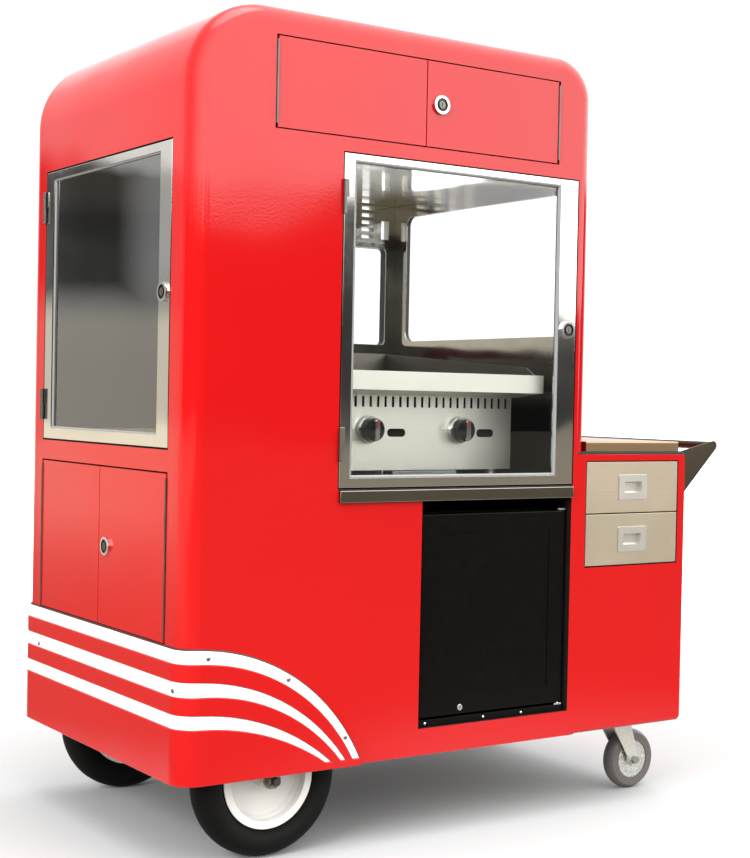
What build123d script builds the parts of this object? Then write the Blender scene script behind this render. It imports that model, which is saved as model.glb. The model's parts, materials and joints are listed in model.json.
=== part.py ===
from build123d import *

import os
from math import acos, cos, sin

os.makedirs("parts", exist_ok=True)

# Body shell: X runs from the closed end to the push handle, the front faces -Y.
TALL_LENGTH = 1142.0
LOW_LENGTH = 348.0
BODY_DEPTH = 900.0
BODY_TOP = 1915.0
BODY_BOTTOM = 202.0
COUNTER_TOP = 923.0
SKIN = 4.0
EDGE_RADIUS = 45.0
EDGE_RETURN = 10.0
END_ROOF_RADIUS = 190.0
SERVING_ROOF_RADIUS = 107.0
LOW_EDGE_RADIUS = 10.0
LOW_CORNER_RADIUS = 16.0
JAMB_DEPTH = 26.0
STOP_WIDTH = 10.0
STOP_THICKNESS = 4.0
DOOR_GAP = 3.0
SEAT = 0.3

# Openings of the front: END_MARGIN is from the closed end, MARGIN from the serving side, DROP from the top.
UPPER_END_MARGIN = 204.0
UPPER_MARGIN = 119.0
UPPER_DROP = 68.0
UPPER_HEIGHT = 207.0
WINDOW_END_MARGIN = 385.0
WINDOW_MARGIN = 51.0
WINDOW_DROP = 307.0
SILL_TOP = 835.0
SILL_HEIGHT = 28.0
SILL_PROUD = 8.0
BAY_LIP = 9.0
DRAWER_BAY_OVERLAP = 7.0
DRAWER_BAY_MARGIN = 30.0
DRAWER_BAY_DROP = 24.0
DRAWER_BAY_HEIGHT = 273.0

# Openings of the closed end, the serving side and the back.
END_MARGIN = 92.0
END_GLASS_FLOOR = 926.0
END_GLASS_DROP = 306.0
LOCKER_FLOOR = 497.0
LOCKER_HEIGHT = 379.0
SIDE_WINDOW_MARGIN = 89.0
SIDE_WINDOW_FLOOR = 1218.0
SIDE_WINDOW_DROP = 329.0
WINDOW_CORNER = 28.0
HATCH_END_MARGIN = 388.0
HATCH_MARGIN = 46.0
HATCH_DROP = 421.0
HATCH_HEIGHT = 286.0
HATCH_TRIM = 62.0
VENT_WIDTH = 43.0
VENT_HEIGHT = 11.0
VENT_COLUMN_PITCH = 62.0
VENT_ROW_PITCH = 21.0
VENT_COLUMNS = 4
VENT_ROWS = 5
VENT_MARGIN = 64.0
PULL_SLOT_WIDTH = 27.0
PULL_SLOT_HEIGHT = 55.0

# Moulded skirt round the closed end: sweeping edges are arcs that leave the level at START.
SKIRT_PROUD = 10.0
SKIRT_BOTTOM = 200.0
SKIRT_DROP = 2.0
SKIRT_SWEEP_START = 12.0
SKIRT_SWEEP_RADIUS = 490.0
GROOVE_FLOOR = 4.5
STRIPE_THICKNESS = 3.0
STRIPE_END = 217.0
STRIPE_DROPS = [(0.0, 30.0), (69.0, 102.0), (141.0, 172.0)]
STRIPE_STARTS = [(SKIRT_SWEEP_START, 20.0), (10.0, 31.0), (10.0, 20.0)]
STRIPE_RADII = [(SKIRT_SWEEP_RADIUS, 471.0), (498.0, 481.0), (560.0, 606.0)]

# Sheet linings, floors and partitions.
SHEET = 2.0
FLOOR_SHEET = 2.0
STEP_CLEARANCE = 12.5
DECK_DROP = 22.0
DECK_SHELF_RISE = 73.0
DECK_STEP_ROOM = 15.0
CEILING_DROP = 294.0
LINING_MARGIN = 28.0
SIDE_LINING_MARGIN = 14.0

# Undercarriage.
TUBE = 40.0
TUBE_WALL = 2.5
AXLE_X = 250.0
TYRE_RADIUS = 180.0
TYRE_WIDTH = 86.0
TYRE_INSET = 85.0
RIM_RADIUS = 101.0
FLANGE_HEIGHT = 14.0
RIM_WIDTH = 60.0
DISC_THICKNESS = 4.0
HUB_RADIUS = 23.0
HUB_LENGTH = 80.0
AXLE_RADIUS = 10.0
AXLE_TAIL = 29.0
SHOULDER = 15.0
SHOULDER_STEP = 6.0
NUT_WIDTH = 30.0
NUT_HEIGHT = 15.0
WASHER = 3.0
RUNNING = 0.05
CASTER_MARGIN = 106.0
CASTER_INSET = 137.0
CASTER_RADIUS = 80.0
CASTER_WIDTH = 40.0
CASTER_CORE_RADIUS = 50.0
CASTER_TRAIL = 45.0
CASTER_BOLT_RADIUS = 6.0
FORK_SHEET = 4.0
KINGPIN_RADIUS = 6.0
FORK_CLEARANCE = 19.0
FORK_RACE = 13.0
PLATE_RACE = 16.0
RACE_RADIUS = 30.0
PLATE_LENGTH = 110.0
PLATE_WIDTH = 90.0
PLATE_SHEET = 6.0

# Doors, drawers and their hardware.
GLASS = 5.0
GLASS_BITE = 8.0
FRAME_SEAL = 2.0
FRONT_STILE = 28.0
FRONT_LOCK_STILE = 56.0
FRONT_TOP_RAIL = 14.0
FRONT_BOTTOM_RAIL = 22.0
END_STILE = 46.0
END_LOCK_STILE = 56.0
END_TOP_RAIL = 20.0
END_BOTTOM_RAIL = 28.0
PANEL_SEAL = 4.0
LIFT_BARREL_RADIUS = 4.5
LIFT_KNUCKLE = 39.0
LIFT_PIN_RADIUS = 2.5
LIFT_LEAF = 2.0
LIFT_GAP = 1.0
PIANO_BARREL_RADIUS = 2.4
PIANO_PIN_RADIUS = 1.0
PIANO_LEAF = 1.2
PIANO_KNUCKLE = 27.0
PIANO_GAP = 6.5
LOCK_RADIUS = 22.0
LOCK_PROUD = 7.0
PLUG_RADIUS = 10.0
CAM_WIDTH = 12.0
CAM_THICKNESS = 3.0
CATCH_LENGTH = 52.0
FRAME_CAM_GAP = 1.0
PANEL_CAM_GAP = 1.5
FRONT_LOCK_RISE = 394.0
END_LOCK_RISE = 347.0
UPPER_LOCK_SHIFT = 40.0
LOCKER_LOCK_SHIFT = 45.0
DRAWER_DEPTH = 540.0
DRAWER_WALL = 1.5
DRAWER_FACE_DEPTH = 14.0
RUNNER_WIDTH = 12.0
RUNNER_HEIGHT = 24.0
PULL_WIDTH = 98.0
PULL_HEIGHT = 65.0
CUP_WIDTH = 61.0
CUP_HEIGHT = 28.0
CUP_DEPTH = 12.0

# Worktop and push handle on the low cabinet.
WORKTOP_RISE = 25.0
WORKTOP_INSET = 10.0
HANDLE_REACH = 134.0
HANDLE_INSET = 20.0
HANDLE_DROP = 121.0
HANDLE_RISE = 14.0
HANDLE_PLATE = 3.0
HANDLE_TIP_RADIUS = 13.0
PUSH_BAR_RADIUS = 11.0

# Griddle.
GRIDDLE_MARGIN = 125.0
GRIDDLE_WIDTH = 610.0
GRIDDLE_FACE = 165.0
GRIDDLE_BACK = 745.0
GRIDDLE_HEIGHT = 203.0
GRIDDLE_SHEET = 2.0
NOSE_FRONT = 42.0
NOSE_RISE = 38.0
NOSE_HEIGHT = 45.0
NOSE_OVERHANG = 4.0
NOSE_LIP = 24.0
NOSE_RETURN = 15.0
NOSE_SLOPE = 12.0
PLATE_THICKNESS = 18.0
PLATE_FRONT = 130.0
SPLASH = 3.0
SPLASH_BACK_RISE = 101.0
SPLASH_FRONT_RISE = 58.0
FOOT_RADIUS = 18.0
FOOT_HEIGHT = 59.0
KNOB_LEFT_INSET = 164.5
KNOB_RIGHT_INSET = 170.0
KNOB_RISE = 100.0
KNOB_RADIUS = 35.0
KNOB_LENGTH = 46.0
STEM_RADIUS = 4.0
STEM_LENGTH = 20.0
SIGHT_SHIFT = 86.0
SIGHT_DROP = 8.0
SIGHT_LENGTH = 55.0
SIGHT_HEIGHT = 20.0
SLOT_MARGIN = 8.0
SLOT_PITCH = 22.0
SLOT_WIDTH = 7.0
SLOT_HEIGHT = 26.0
SLOT_DROP = 3.0
TRAY_X = 220.0
TRAY_WIDTH = 195.0
TRAY_DEPTH = 380.0
TRAY_HEIGHT = 42.0
TRAY_PROUD = 30.0
LEDGE_WIDTH = 9.0

# Fridge.
FRIDGE_WIDTH = 447.0
FRIDGE_CLEARANCE = 8.5
FRIDGE_DEPTH = 480.0
FRIDGE_HEADROOM = 32.0
FRIDGE_WALL = 32.0
FRIDGE_DOOR_DEPTH = 45.0
FRIDGE_DOOR_FRONT = 12.0
FRIDGE_DOOR_LIFT = 21.0
FRIDGE_PIN_INSET = 8.0
FRIDGE_PIN_RADIUS = 4.0
FRIDGE_PIN_BITE = 14.0
FRIDGE_BORDER = 50.0
FRIDGE_LOCK_RADIUS = 8.0
FRIDGE_LOCK_INSET = 122.0
FRIDGE_LOCK_RISE = 17.0

# Reference planes and derived spans.
BODY_LENGTH = TALL_LENGTH + LOW_LENGTH
OVERALL_LENGTH = SKIRT_PROUD + BODY_LENGTH + HANDLE_REACH
END_X = SKIRT_PROUD - OVERALL_LENGTH / 2
FRONT_Y = -BODY_DEPTH / 2
MOULD_DEPTH = EDGE_RADIUS + EDGE_RETURN


def along(distance):
    """X at a distance from the closed end's face."""
    return END_X + distance


def into(distance):
    """Y at a distance behind the front face."""
    return FRONT_Y + distance


def grown(span, by):
    """The span widened by the same amount at both ends."""
    return (span[0] - by, span[1] + by)


def middle(span):
    """Centre of a span."""
    return (span[0] + span[1]) / 2


def front_view(y):
    """Sketch plane parallel to the front: sketch x is X and sketch y is Z."""
    return Plane.XZ.offset(-y)


def end_view(x):
    """Sketch plane parallel to the closed end: sketch x is Y and sketch y is Z."""
    return Plane.YZ.offset(x)


def block(x, y, z, mode=Mode.ADD):
    """Box between three spans."""
    with Locations((middle(x), middle(y), middle(z))):
        Box(x[1] - x[0], y[1] - y[0], z[1] - z[0], mode=mode)


def rod(start, axis, radius, length, mode=Mode.ADD):
    """Round bar from a start point along an axis."""
    with Locations(Plane(origin=start, z_dir=axis)):
        Cylinder(radius, length, align=(Align.CENTER, Align.CENTER, Align.MIN), mode=mode)


def keep(piece, name):
    """Label a finished piece and write its STEP file."""
    piece.part.label = name
    export_step(piece.part, f"parts/{name}.step")


TALL_RIGHT = along(TALL_LENGTH)
BODY_RIGHT = along(BODY_LENGTH)
CROWN_TOP = 2 * CASTER_RADIUS + FORK_CLEARANCE
RACE_SPLIT = CROWN_TOP + FORK_RACE
RAIL_BOTTOM = RACE_SPLIT + PLATE_RACE + PLATE_SHEET
PAN_TOP = RAIL_BOTTOM + TUBE + FLOOR_SHEET
LOCKER_PAN_TOP = LOCKER_FLOOR - BAY_LIP
SKIRT_TOP = LOCKER_FLOOR - SKIRT_DROP
DECK_TOP = SILL_TOP - DECK_DROP
DECK_SHELF_TOP = DECK_TOP + DECK_SHELF_RISE
CEILING = BODY_TOP - CEILING_DROP
FRAME_DEPTH = JAMB_DEPTH - STOP_THICKNESS - FRAME_SEAL
PANEL_DEPTH = JAMB_DEPTH - STOP_THICKNESS - PANEL_SEAL
SIDE_Y = (into(MOULD_DEPTH), -into(MOULD_DEPTH))
INSIDE_Y = (into(SKIN + SEAT), -into(SKIN + SEAT))
UPPER_X = (along(UPPER_END_MARGIN), TALL_RIGHT - UPPER_MARGIN)
UPPER_Z = (BODY_TOP - UPPER_DROP - UPPER_HEIGHT, BODY_TOP - UPPER_DROP)
WINDOW_X = (along(WINDOW_END_MARGIN), TALL_RIGHT - WINDOW_MARGIN)
WINDOW_Z = (SILL_TOP + DOOR_GAP, BODY_TOP - WINDOW_DROP)
FRIDGE_RIGHT = WINDOW_X[1] - DOOR_GAP - FRIDGE_CLEARANCE
FRIDGE_X = (FRIDGE_RIGHT - FRIDGE_WIDTH, FRIDGE_RIGHT)
FRIDGE_BAY_X = grown(FRIDGE_X, FRIDGE_CLEARANCE)
FRIDGE_BAY_Z = (PAN_TOP + BAY_LIP, SILL_TOP - SILL_HEIGHT)
STEP_X = FRIDGE_X[0] - STEP_CLEARANCE
DRAWER_BAY_X = (TALL_RIGHT - DRAWER_BAY_OVERLAP, BODY_RIGHT - DRAWER_BAY_MARGIN)
DRAWER_BAY_Z = (COUNTER_TOP - DRAWER_BAY_DROP - DRAWER_BAY_HEIGHT, COUNTER_TOP - DRAWER_BAY_DROP)
END_OPENING_Y = (into(END_MARGIN), -into(END_MARGIN))
END_GLASS_Z = (END_GLASS_FLOOR, BODY_TOP - END_GLASS_DROP)
LOCKER_Z = (LOCKER_FLOOR, LOCKER_FLOOR + LOCKER_HEIGHT)
SIDE_WINDOW_Y = (into(SIDE_WINDOW_MARGIN), -into(SIDE_WINDOW_MARGIN))
SIDE_WINDOW_Z = (SIDE_WINDOW_FLOOR, BODY_TOP - SIDE_WINDOW_DROP)
HATCH_X = (along(HATCH_END_MARGIN), TALL_RIGHT - HATCH_MARGIN)
HATCH_WIDTH = HATCH_X[1] - HATCH_X[0]
HATCH_Z = (BODY_TOP - HATCH_DROP - HATCH_HEIGHT, BODY_TOP - HATCH_DROP)
GRIDDLE_X = (TALL_RIGHT - GRIDDLE_MARGIN - GRIDDLE_WIDTH, TALL_RIGHT - GRIDDLE_MARGIN)
GRIDDLE_Y = (into(GRIDDLE_FACE), into(GRIDDLE_BACK))
GRIDDLE_BASE = DECK_TOP + FOOT_HEIGHT
GRIDDLE_TOP = GRIDDLE_BASE + GRIDDLE_HEIGHT
DECK_STEP_X = GRIDDLE_X[0] - DECK_STEP_ROOM


# Front and back mouldings: a rounded front skin whose edges turn back to meet the end, roof and side.
def tall_form(inset):
    """Solid of the tall cabinet's front moulding, drawn in by inset on every outer face."""
    left = along(inset)
    right = TALL_RIGHT - inset
    top = BODY_TOP - inset
    bottom = BODY_BOTTOM - inset
    end_radius = END_ROOF_RADIUS - inset
    side_radius = SERVING_ROOF_RADIUS - inset
    with BuildPart() as form:
        with BuildSketch(front_view(into(inset))):
            with BuildLine():
                Line((left, bottom), (left, top - end_radius))
                TangentArc((left, top - end_radius), (left + end_radius, top), tangent=(0, 1))
                Line((left + end_radius, top), (right - side_radius, top))
                TangentArc((right - side_radius, top), (right, top - side_radius), tangent=(1, 0))
                Polyline((right, top - side_radius), (right, bottom), (left, bottom))
            make_face()
        extrude(amount=-MOULD_DEPTH)
        rim = form.faces().sort_by(Axis.Y)[0].edges().sort_by(Axis.Z)
        fillet(rim[1:], radius=EDGE_RADIUS - inset)
    return form.part


def low_form(inset):
    """Solid of the low cabinet's front moulding, drawn in by inset on every outer face."""
    left = TALL_RIGHT - EDGE_RADIUS - LOW_CORNER_RADIUS
    right = BODY_RIGHT - inset
    top = COUNTER_TOP - inset
    bottom = BODY_BOTTOM - inset
    radius = LOW_CORNER_RADIUS - inset
    with BuildPart() as form:
        with BuildSketch(front_view(into(inset))):
            with BuildLine():
                Polyline((left, bottom), (left, top), (right - radius, top))
                TangentArc((right - radius, top), (right, top - radius), tangent=(1, 0))
                Line((right, top - radius), (right, bottom + radius))
                TangentArc((right, bottom + radius), (right - radius, bottom), tangent=(0, -1))
                Line((right - radius, bottom), (left, bottom))
            make_face()
        extrude(amount=-MOULD_DEPTH)
        rim = form.faces().sort_by(Axis.Y)[0].edges().sort_by(Axis.X)
        fillet(rim[1:], radius=LOW_EDGE_RADIUS - inset)
    return form.part


tall_outer = tall_form(0)
tall_inner = tall_form(SKIN)
low_outer = low_form(0)
low_inner = low_form(SKIN)


def framed_opening(x, z, stop):
    """Opening in the front skin with a jamb that turns inwards and an optional door stop."""
    stop_front = into(JAMB_DEPTH - STOP_THICKNESS)
    block(grown(x, SKIN), (into(SKIN), into(JAMB_DEPTH)), grown(z, SKIN))
    block(x, (into(-SKIN), stop_front), z, Mode.SUBTRACT)
    block(grown(x, -stop), (stop_front, into(JAMB_DEPTH + SKIN)), grown(z, -stop), Mode.SUBTRACT)


with BuildPart() as front_panel:
    add(tall_outer)
    add(low_outer)
    add(tall_inner, mode=Mode.SUBTRACT)
    add(low_inner, mode=Mode.SUBTRACT)
    block((along(SKIN), BODY_RIGHT - SKIN), (into(SKIN), into(MOULD_DEPTH)),
          (BODY_BOTTOM - SKIN, BODY_BOTTOM + LOW_CORNER_RADIUS), Mode.SUBTRACT)
    framed_opening(UPPER_X, UPPER_Z, STOP_WIDTH)
    framed_opening(WINDOW_X, WINDOW_Z, STOP_WIDTH)
    framed_opening(FRIDGE_BAY_X, FRIDGE_BAY_Z, 0)
    framed_opening(DRAWER_BAY_X, DRAWER_BAY_Z, 0)
keep(front_panel, "front_panel")

VENT_X = TALL_RIGHT - VENT_MARGIN - VENT_WIDTH / 2 - PULL_SLOT_WIDTH
VENT_Z = CEILING - VENT_ROW_PITCH * VENT_ROWS / 2
PULL_SLOT_X = TALL_RIGHT - VENT_MARGIN + PULL_SLOT_WIDTH / 2


def back_openings(y):
    """Serving hatch, vent slots and pull slot, cut through a back wall sheet from the plane at y."""
    with BuildSketch(front_view(y)) as outline:
        with Locations((middle(HATCH_X), middle(HATCH_Z))):
            RectangleRounded(HATCH_WIDTH, HATCH_HEIGHT, WINDOW_CORNER / 2)
        with Locations((VENT_X - VENT_COLUMN_PITCH * (VENT_COLUMNS - 1) / 2, VENT_Z)):
            with GridLocations(VENT_COLUMN_PITCH, VENT_ROW_PITCH, VENT_COLUMNS, VENT_ROWS):
                Rectangle(VENT_WIDTH, VENT_HEIGHT)
        with Locations((PULL_SLOT_X, HATCH_Z[1] + PULL_SLOT_HEIGHT)):
            Rectangle(PULL_SLOT_WIDTH, PULL_SLOT_HEIGHT)
    extrude(outline.sketch, amount=-MOULD_DEPTH, mode=Mode.SUBTRACT)


with BuildPart() as back_panel:
    add(tall_outer.mirror(Plane.XZ))
    add(low_outer.mirror(Plane.XZ))
    add(tall_inner.mirror(Plane.XZ), mode=Mode.SUBTRACT)
    add(low_inner.mirror(Plane.XZ), mode=Mode.SUBTRACT)
    block((along(SKIN), BODY_RIGHT - SKIN), (-into(MOULD_DEPTH), -into(SKIN)),
          (BODY_BOTTOM - SKIN, BODY_BOTTOM + LOW_CORNER_RADIUS), Mode.SUBTRACT)
    back_openings(-into(MOULD_DEPTH))
keep(back_panel, "back_panel")

with BuildPart() as end_panel:
    block((END_X, END_X + SKIN), SIDE_Y, (BODY_BOTTOM, BODY_TOP - END_ROOF_RADIUS))
    for opening_z in (END_GLASS_Z, LOCKER_Z):
        stop_x = END_X + JAMB_DEPTH - STOP_THICKNESS
        block((END_X + SKIN, END_X + JAMB_DEPTH), grown(END_OPENING_Y, SKIN), grown(opening_z, SKIN))
        block((END_X - SKIN, stop_x), END_OPENING_Y, opening_z, Mode.SUBTRACT)
        block((stop_x, END_X + JAMB_DEPTH + SKIN), grown(END_OPENING_Y, -STOP_WIDTH),
              grown(opening_z, -STOP_WIDTH), Mode.SUBTRACT)
keep(end_panel, "end_panel")

SIDE_LENGTH = SIDE_Y[1] - SIDE_Y[0]
with BuildPart() as roof_panel:
    with BuildSketch(front_view(SIDE_Y[0])):
        with BuildLine():
            TangentArc((END_X, BODY_TOP - END_ROOF_RADIUS), (END_X + END_ROOF_RADIUS, BODY_TOP),
                       tangent=(0, 1))
            Line((END_X + END_ROOF_RADIUS, BODY_TOP), (TALL_RIGHT - SERVING_ROOF_RADIUS, BODY_TOP))
            TangentArc((TALL_RIGHT - SERVING_ROOF_RADIUS, BODY_TOP),
                       (TALL_RIGHT, BODY_TOP - SERVING_ROOF_RADIUS), tangent=(1, 0))
            offset(amount=SKIN, side=Side.RIGHT)
        make_face()
    extrude(amount=-SIDE_LENGTH)
keep(roof_panel, "roof_panel")


def side_window(x, mode):
    """Rounded serving window cut across X from the plane at x."""
    with BuildSketch(end_view(x)) as outline:
        with Locations((middle(SIDE_WINDOW_Y), middle(SIDE_WINDOW_Z))):
            RectangleRounded(SIDE_WINDOW_Y[1] - SIDE_WINDOW_Y[0], SIDE_WINDOW_Z[1] - SIDE_WINDOW_Z[0],
                             WINDOW_CORNER)
    extrude(outline.sketch, amount=MOULD_DEPTH, mode=mode)


with BuildPart() as serving_panel:
    block((TALL_RIGHT - SKIN, TALL_RIGHT), SIDE_Y, (COUNTER_TOP, BODY_TOP - SERVING_ROOF_RADIUS))
    side_window(TALL_RIGHT - MOULD_DEPTH / 2, Mode.SUBTRACT)
keep(serving_panel, "serving_panel")

with BuildPart() as low_panel:
    with BuildSketch(front_view(SIDE_Y[0])):
        with BuildLine():
            Line((TALL_RIGHT - SKIN, COUNTER_TOP), (BODY_RIGHT - LOW_CORNER_RADIUS, COUNTER_TOP))
            TangentArc((BODY_RIGHT - LOW_CORNER_RADIUS, COUNTER_TOP),
                       (BODY_RIGHT, COUNTER_TOP - LOW_CORNER_RADIUS), tangent=(1, 0))
            Line((BODY_RIGHT, COUNTER_TOP - LOW_CORNER_RADIUS), (BODY_RIGHT, BODY_BOTTOM))
            offset(amount=SKIN, side=Side.RIGHT)
        make_face()
    extrude(amount=-SIDE_LENGTH)
keep(low_panel, "low_panel")


# Skirt: a band bent round the closed end, trimmed by sweeping arcs, with three grooves for the stripes.
def sweep_points(start, height, radius, end):
    """Start, middle and end of an arc that leaves the level at start and comes down to the end height."""
    turn = acos(1 - (height - end) / radius)
    points = []
    for share in (0, 0.5, 1):
        angle = share * turn
        points.append((along(start) + radius * sin(angle), height - radius * (1 - cos(angle))))
    return points


BAND_END = END_X + SKIRT_SWEEP_START + SKIRT_SWEEP_RADIUS


def bent_band(stand_off, thickness, z):
    """Band bent round the closed end, standing off the body by stand_off."""
    left = END_X - stand_off
    front = FRONT_Y - stand_off
    radius = EDGE_RADIUS + stand_off
    with BuildSketch(Plane.XY.offset(z[0])) as outline:
        with BuildLine():
            Line((BAND_END, front), (left + radius, front))
            TangentArc((left + radius, front), (left, front + radius), tangent=(-1, 0))
            Line((left, front + radius), (left, -front - radius))
            TangentArc((left, -front - radius), (left + radius, -front), tangent=(0, 1))
            Line((left + radius, -front), (BAND_END, -front))
            offset(amount=thickness, side=Side.LEFT)
        make_face()
    extrude(outline.sketch, amount=z[1] - z[0])


def trim_to_outline(upper, lower, far_left):
    """Keep what lies between two sweeping edges, each given as (start, height, radius, end)."""
    with BuildSketch(front_view(2 * FRONT_Y)) as outline:
        with BuildLine():
            top = sweep_points(*upper)
            low = sweep_points(*lower)
            Polyline((far_left, lower[1]), (far_left, upper[1]), top[0])
            ThreePointArc(*top)
            Line(top[2], low[2])
            ThreePointArc(low[2], low[1], low[0])
            Line(low[0], (far_left, lower[1]))
        make_face()
    extrude(outline.sketch, amount=4 * FRONT_Y, mode=Mode.INTERSECT)


def stripe_form(index, stand_off, thickness, shrink, lift):
    """Solid of one stripe between two depths; shrink narrows it and lift opens it upwards."""
    heights = [SKIRT_TOP - drop for drop in STRIPE_DROPS[index]]
    starts = STRIPE_STARTS[index]
    radii = STRIPE_RADII[index]
    end = STRIPE_END + shrink
    upper = (starts[0], heights[0] - shrink + lift, radii[0] - shrink + lift, end)
    lower = (starts[1], heights[1] + shrink, radii[1] + shrink, end)
    with BuildPart() as form:
        bent_band(stand_off, thickness, (SKIRT_BOTTOM, SKIRT_TOP + GROOVE_FLOOR))
        trim_to_outline(upper, lower, END_X - 2 * SKIRT_PROUD)
    return form.part


skirt_edge = (SKIRT_SWEEP_START, SKIRT_TOP, SKIRT_SWEEP_RADIUS, SKIRT_BOTTOM)
groove_forms = []
stripe_forms = []
for stripe_index in range(len(STRIPE_DROPS)):
    open_top = GROOVE_FLOOR if stripe_index == 0 else 0
    groove_forms.append(stripe_form(stripe_index, GROOVE_FLOOR, SKIRT_PROUD, 0, open_top))
    stripe_forms.append(stripe_form(stripe_index, GROOVE_FLOOR, STRIPE_THICKNESS, SEAT, 0))

with BuildPart() as skirt:
    bent_band(SEAT, SKIRT_PROUD - SEAT, (SKIRT_BOTTOM, SKIRT_TOP))
    with BuildSketch(front_view(2 * FRONT_Y)):
        with BuildLine():
            edge = sweep_points(*skirt_edge)
            Polyline((END_X - 2 * SKIRT_PROUD, SKIRT_BOTTOM), (END_X - 2 * SKIRT_PROUD, SKIRT_TOP), edge[0])
            ThreePointArc(*edge)
            Line(edge[2], (END_X - 2 * SKIRT_PROUD, SKIRT_BOTTOM))
        make_face()
    extrude(amount=4 * FRONT_Y, mode=Mode.INTERSECT)
    for groove in groove_forms:
        add(groove, mode=Mode.SUBTRACT)
keep(skirt, "skirt")

with BuildPart() as skirt_stripes:
    for stripe in stripe_forms:
        add(stripe)
keep(skirt_stripes, "skirt_stripes")

# Floors, partitions and linings.
PAN_EDGE_X = along(SKIN + SEAT)
BAY_WALL_X = DRAWER_BAY_X[0] - FLOOR_SHEET
with BuildPart() as floor_pan:
    with BuildSketch(front_view(INSIDE_Y[0])):
        with BuildLine():
            Polyline(
                (BODY_RIGHT - SKIN - SEAT, PAN_TOP),
                (STEP_X, PAN_TOP),
                (STEP_X, LOCKER_PAN_TOP),
                (PAN_EDGE_X, LOCKER_PAN_TOP),
            )
            offset(amount=FLOOR_SHEET, side=Side.LEFT, kind=Kind.INTERSECTION)
        make_face()
    extrude(amount=-(INSIDE_Y[1] - INSIDE_Y[0]))
    fillet(floor_pan.edges().filter_by(Axis.Z).group_by(Axis.X)[0], radius=EDGE_RADIUS)
    fillet(floor_pan.edges().filter_by(Axis.Z).group_by(Axis.X)[-1], radius=LOW_EDGE_RADIUS)
keep(floor_pan, "floor_pan")

LINING_Y = -into(LINING_MARGIN)
JAMB_Y = (into(JAMB_DEPTH + SEAT), LINING_Y + SHEET)
with BuildPart() as cooking_deck:
    with BuildSketch(front_view(JAMB_Y[0])):
        with BuildLine():
            Polyline(
                (BAY_WALL_X - SEAT, DECK_TOP),
                (DECK_STEP_X, DECK_TOP),
                (DECK_STEP_X, DECK_SHELF_TOP),
                (END_X + JAMB_DEPTH + SEAT, DECK_SHELF_TOP),
            )
            offset(amount=FLOOR_SHEET, side=Side.LEFT, kind=Kind.INTERSECTION)
        make_face()
    extrude(amount=-(JAMB_Y[1] - JAMB_Y[0]))
keep(cooking_deck, "cooking_deck")

with BuildPart() as bay_walls:
    block((STEP_X, STEP_X + FLOOR_SHEET), JAMB_Y, (LOCKER_PAN_TOP, DECK_TOP - FLOOR_SHEET))
    for wall_x in ((BAY_WALL_X, DRAWER_BAY_X[0]), (DRAWER_BAY_X[1], DRAWER_BAY_X[1] + FLOOR_SHEET)):
        block(wall_x, JAMB_Y, (PAN_TOP, COUNTER_TOP - SKIN))
keep(bay_walls, "bay_walls")

with BuildPart() as ceiling_lining:
    block((PAN_EDGE_X, TALL_RIGHT - SKIN - SEAT), INSIDE_Y, (CEILING, CEILING + SHEET))
    fillet(ceiling_lining.edges().filter_by(Axis.Z), radius=EDGE_RADIUS)

LINING_TOP = CEILING - SEAT
SIDE_LINING_X = TALL_RIGHT - SIDE_LINING_MARGIN
with BuildPart() as back_lining:
    with BuildSketch(front_view(LINING_Y)):
        with BuildLine():
            Polyline(
                (DECK_STEP_X, DECK_TOP),
                (SIDE_LINING_X - SEAT, DECK_TOP),
                (SIDE_LINING_X - SEAT, LINING_TOP),
                (END_X + JAMB_DEPTH + SEAT, LINING_TOP),
                (END_X + JAMB_DEPTH + SEAT, DECK_SHELF_TOP),
                (DECK_STEP_X, DECK_SHELF_TOP),
                close=True,
            )
        make_face()
    extrude(amount=-SHEET)
    with BuildSketch(front_view(LINING_Y)):
        with Locations((middle(HATCH_X), middle(HATCH_Z))):
            trim_height = HATCH_HEIGHT + HATCH_TRIM / 2
            RectangleRounded(HATCH_WIDTH + 2 * (HATCH_MARGIN - SIDE_LINING_MARGIN - SHEET), trim_height, SKIN)
    extrude(amount=SHEET)
    back_openings(LINING_Y - MOULD_DEPTH / 2)

with BuildPart() as side_lining:
    block((SIDE_LINING_X, SIDE_LINING_X + SHEET), JAMB_Y, (DECK_TOP, LINING_TOP))
    side_window(SIDE_LINING_X - MOULD_DEPTH / 2, Mode.SUBTRACT)

with BuildPart() as linings:
    for sheet_part in (ceiling_lining.part, back_lining.part, side_lining.part):
        add(sheet_part)
keep(linings, "linings")

# Stainless worktop, folded down round its edge, on the low cabinet.
WORKTOP_X = (TALL_RIGHT + SEAT, BODY_RIGHT - LOW_CORNER_RADIUS)
WORKTOP_Y = (into(WORKTOP_INSET), -into(WORKTOP_INSET))
WORKTOP_Z = (COUNTER_TOP, COUNTER_TOP + WORKTOP_RISE)
with BuildPart() as worktop:
    block(WORKTOP_X, WORKTOP_Y, WORKTOP_Z)
    fillet(worktop.edges().filter_by(Axis.Z).sort_by(Axis.X)[2:], radius=LOW_EDGE_RADIUS)
    fillet(worktop.faces().sort_by(Axis.Z)[-1].edges().sort_by(Axis.X)[1:], radius=SKIN)
    block(grown(WORKTOP_X, -SHEET), grown(WORKTOP_Y, -SHEET), (WORKTOP_Z[0], WORKTOP_Z[1] - SHEET),
          Mode.SUBTRACT)
keep(worktop, "worktop")

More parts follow.
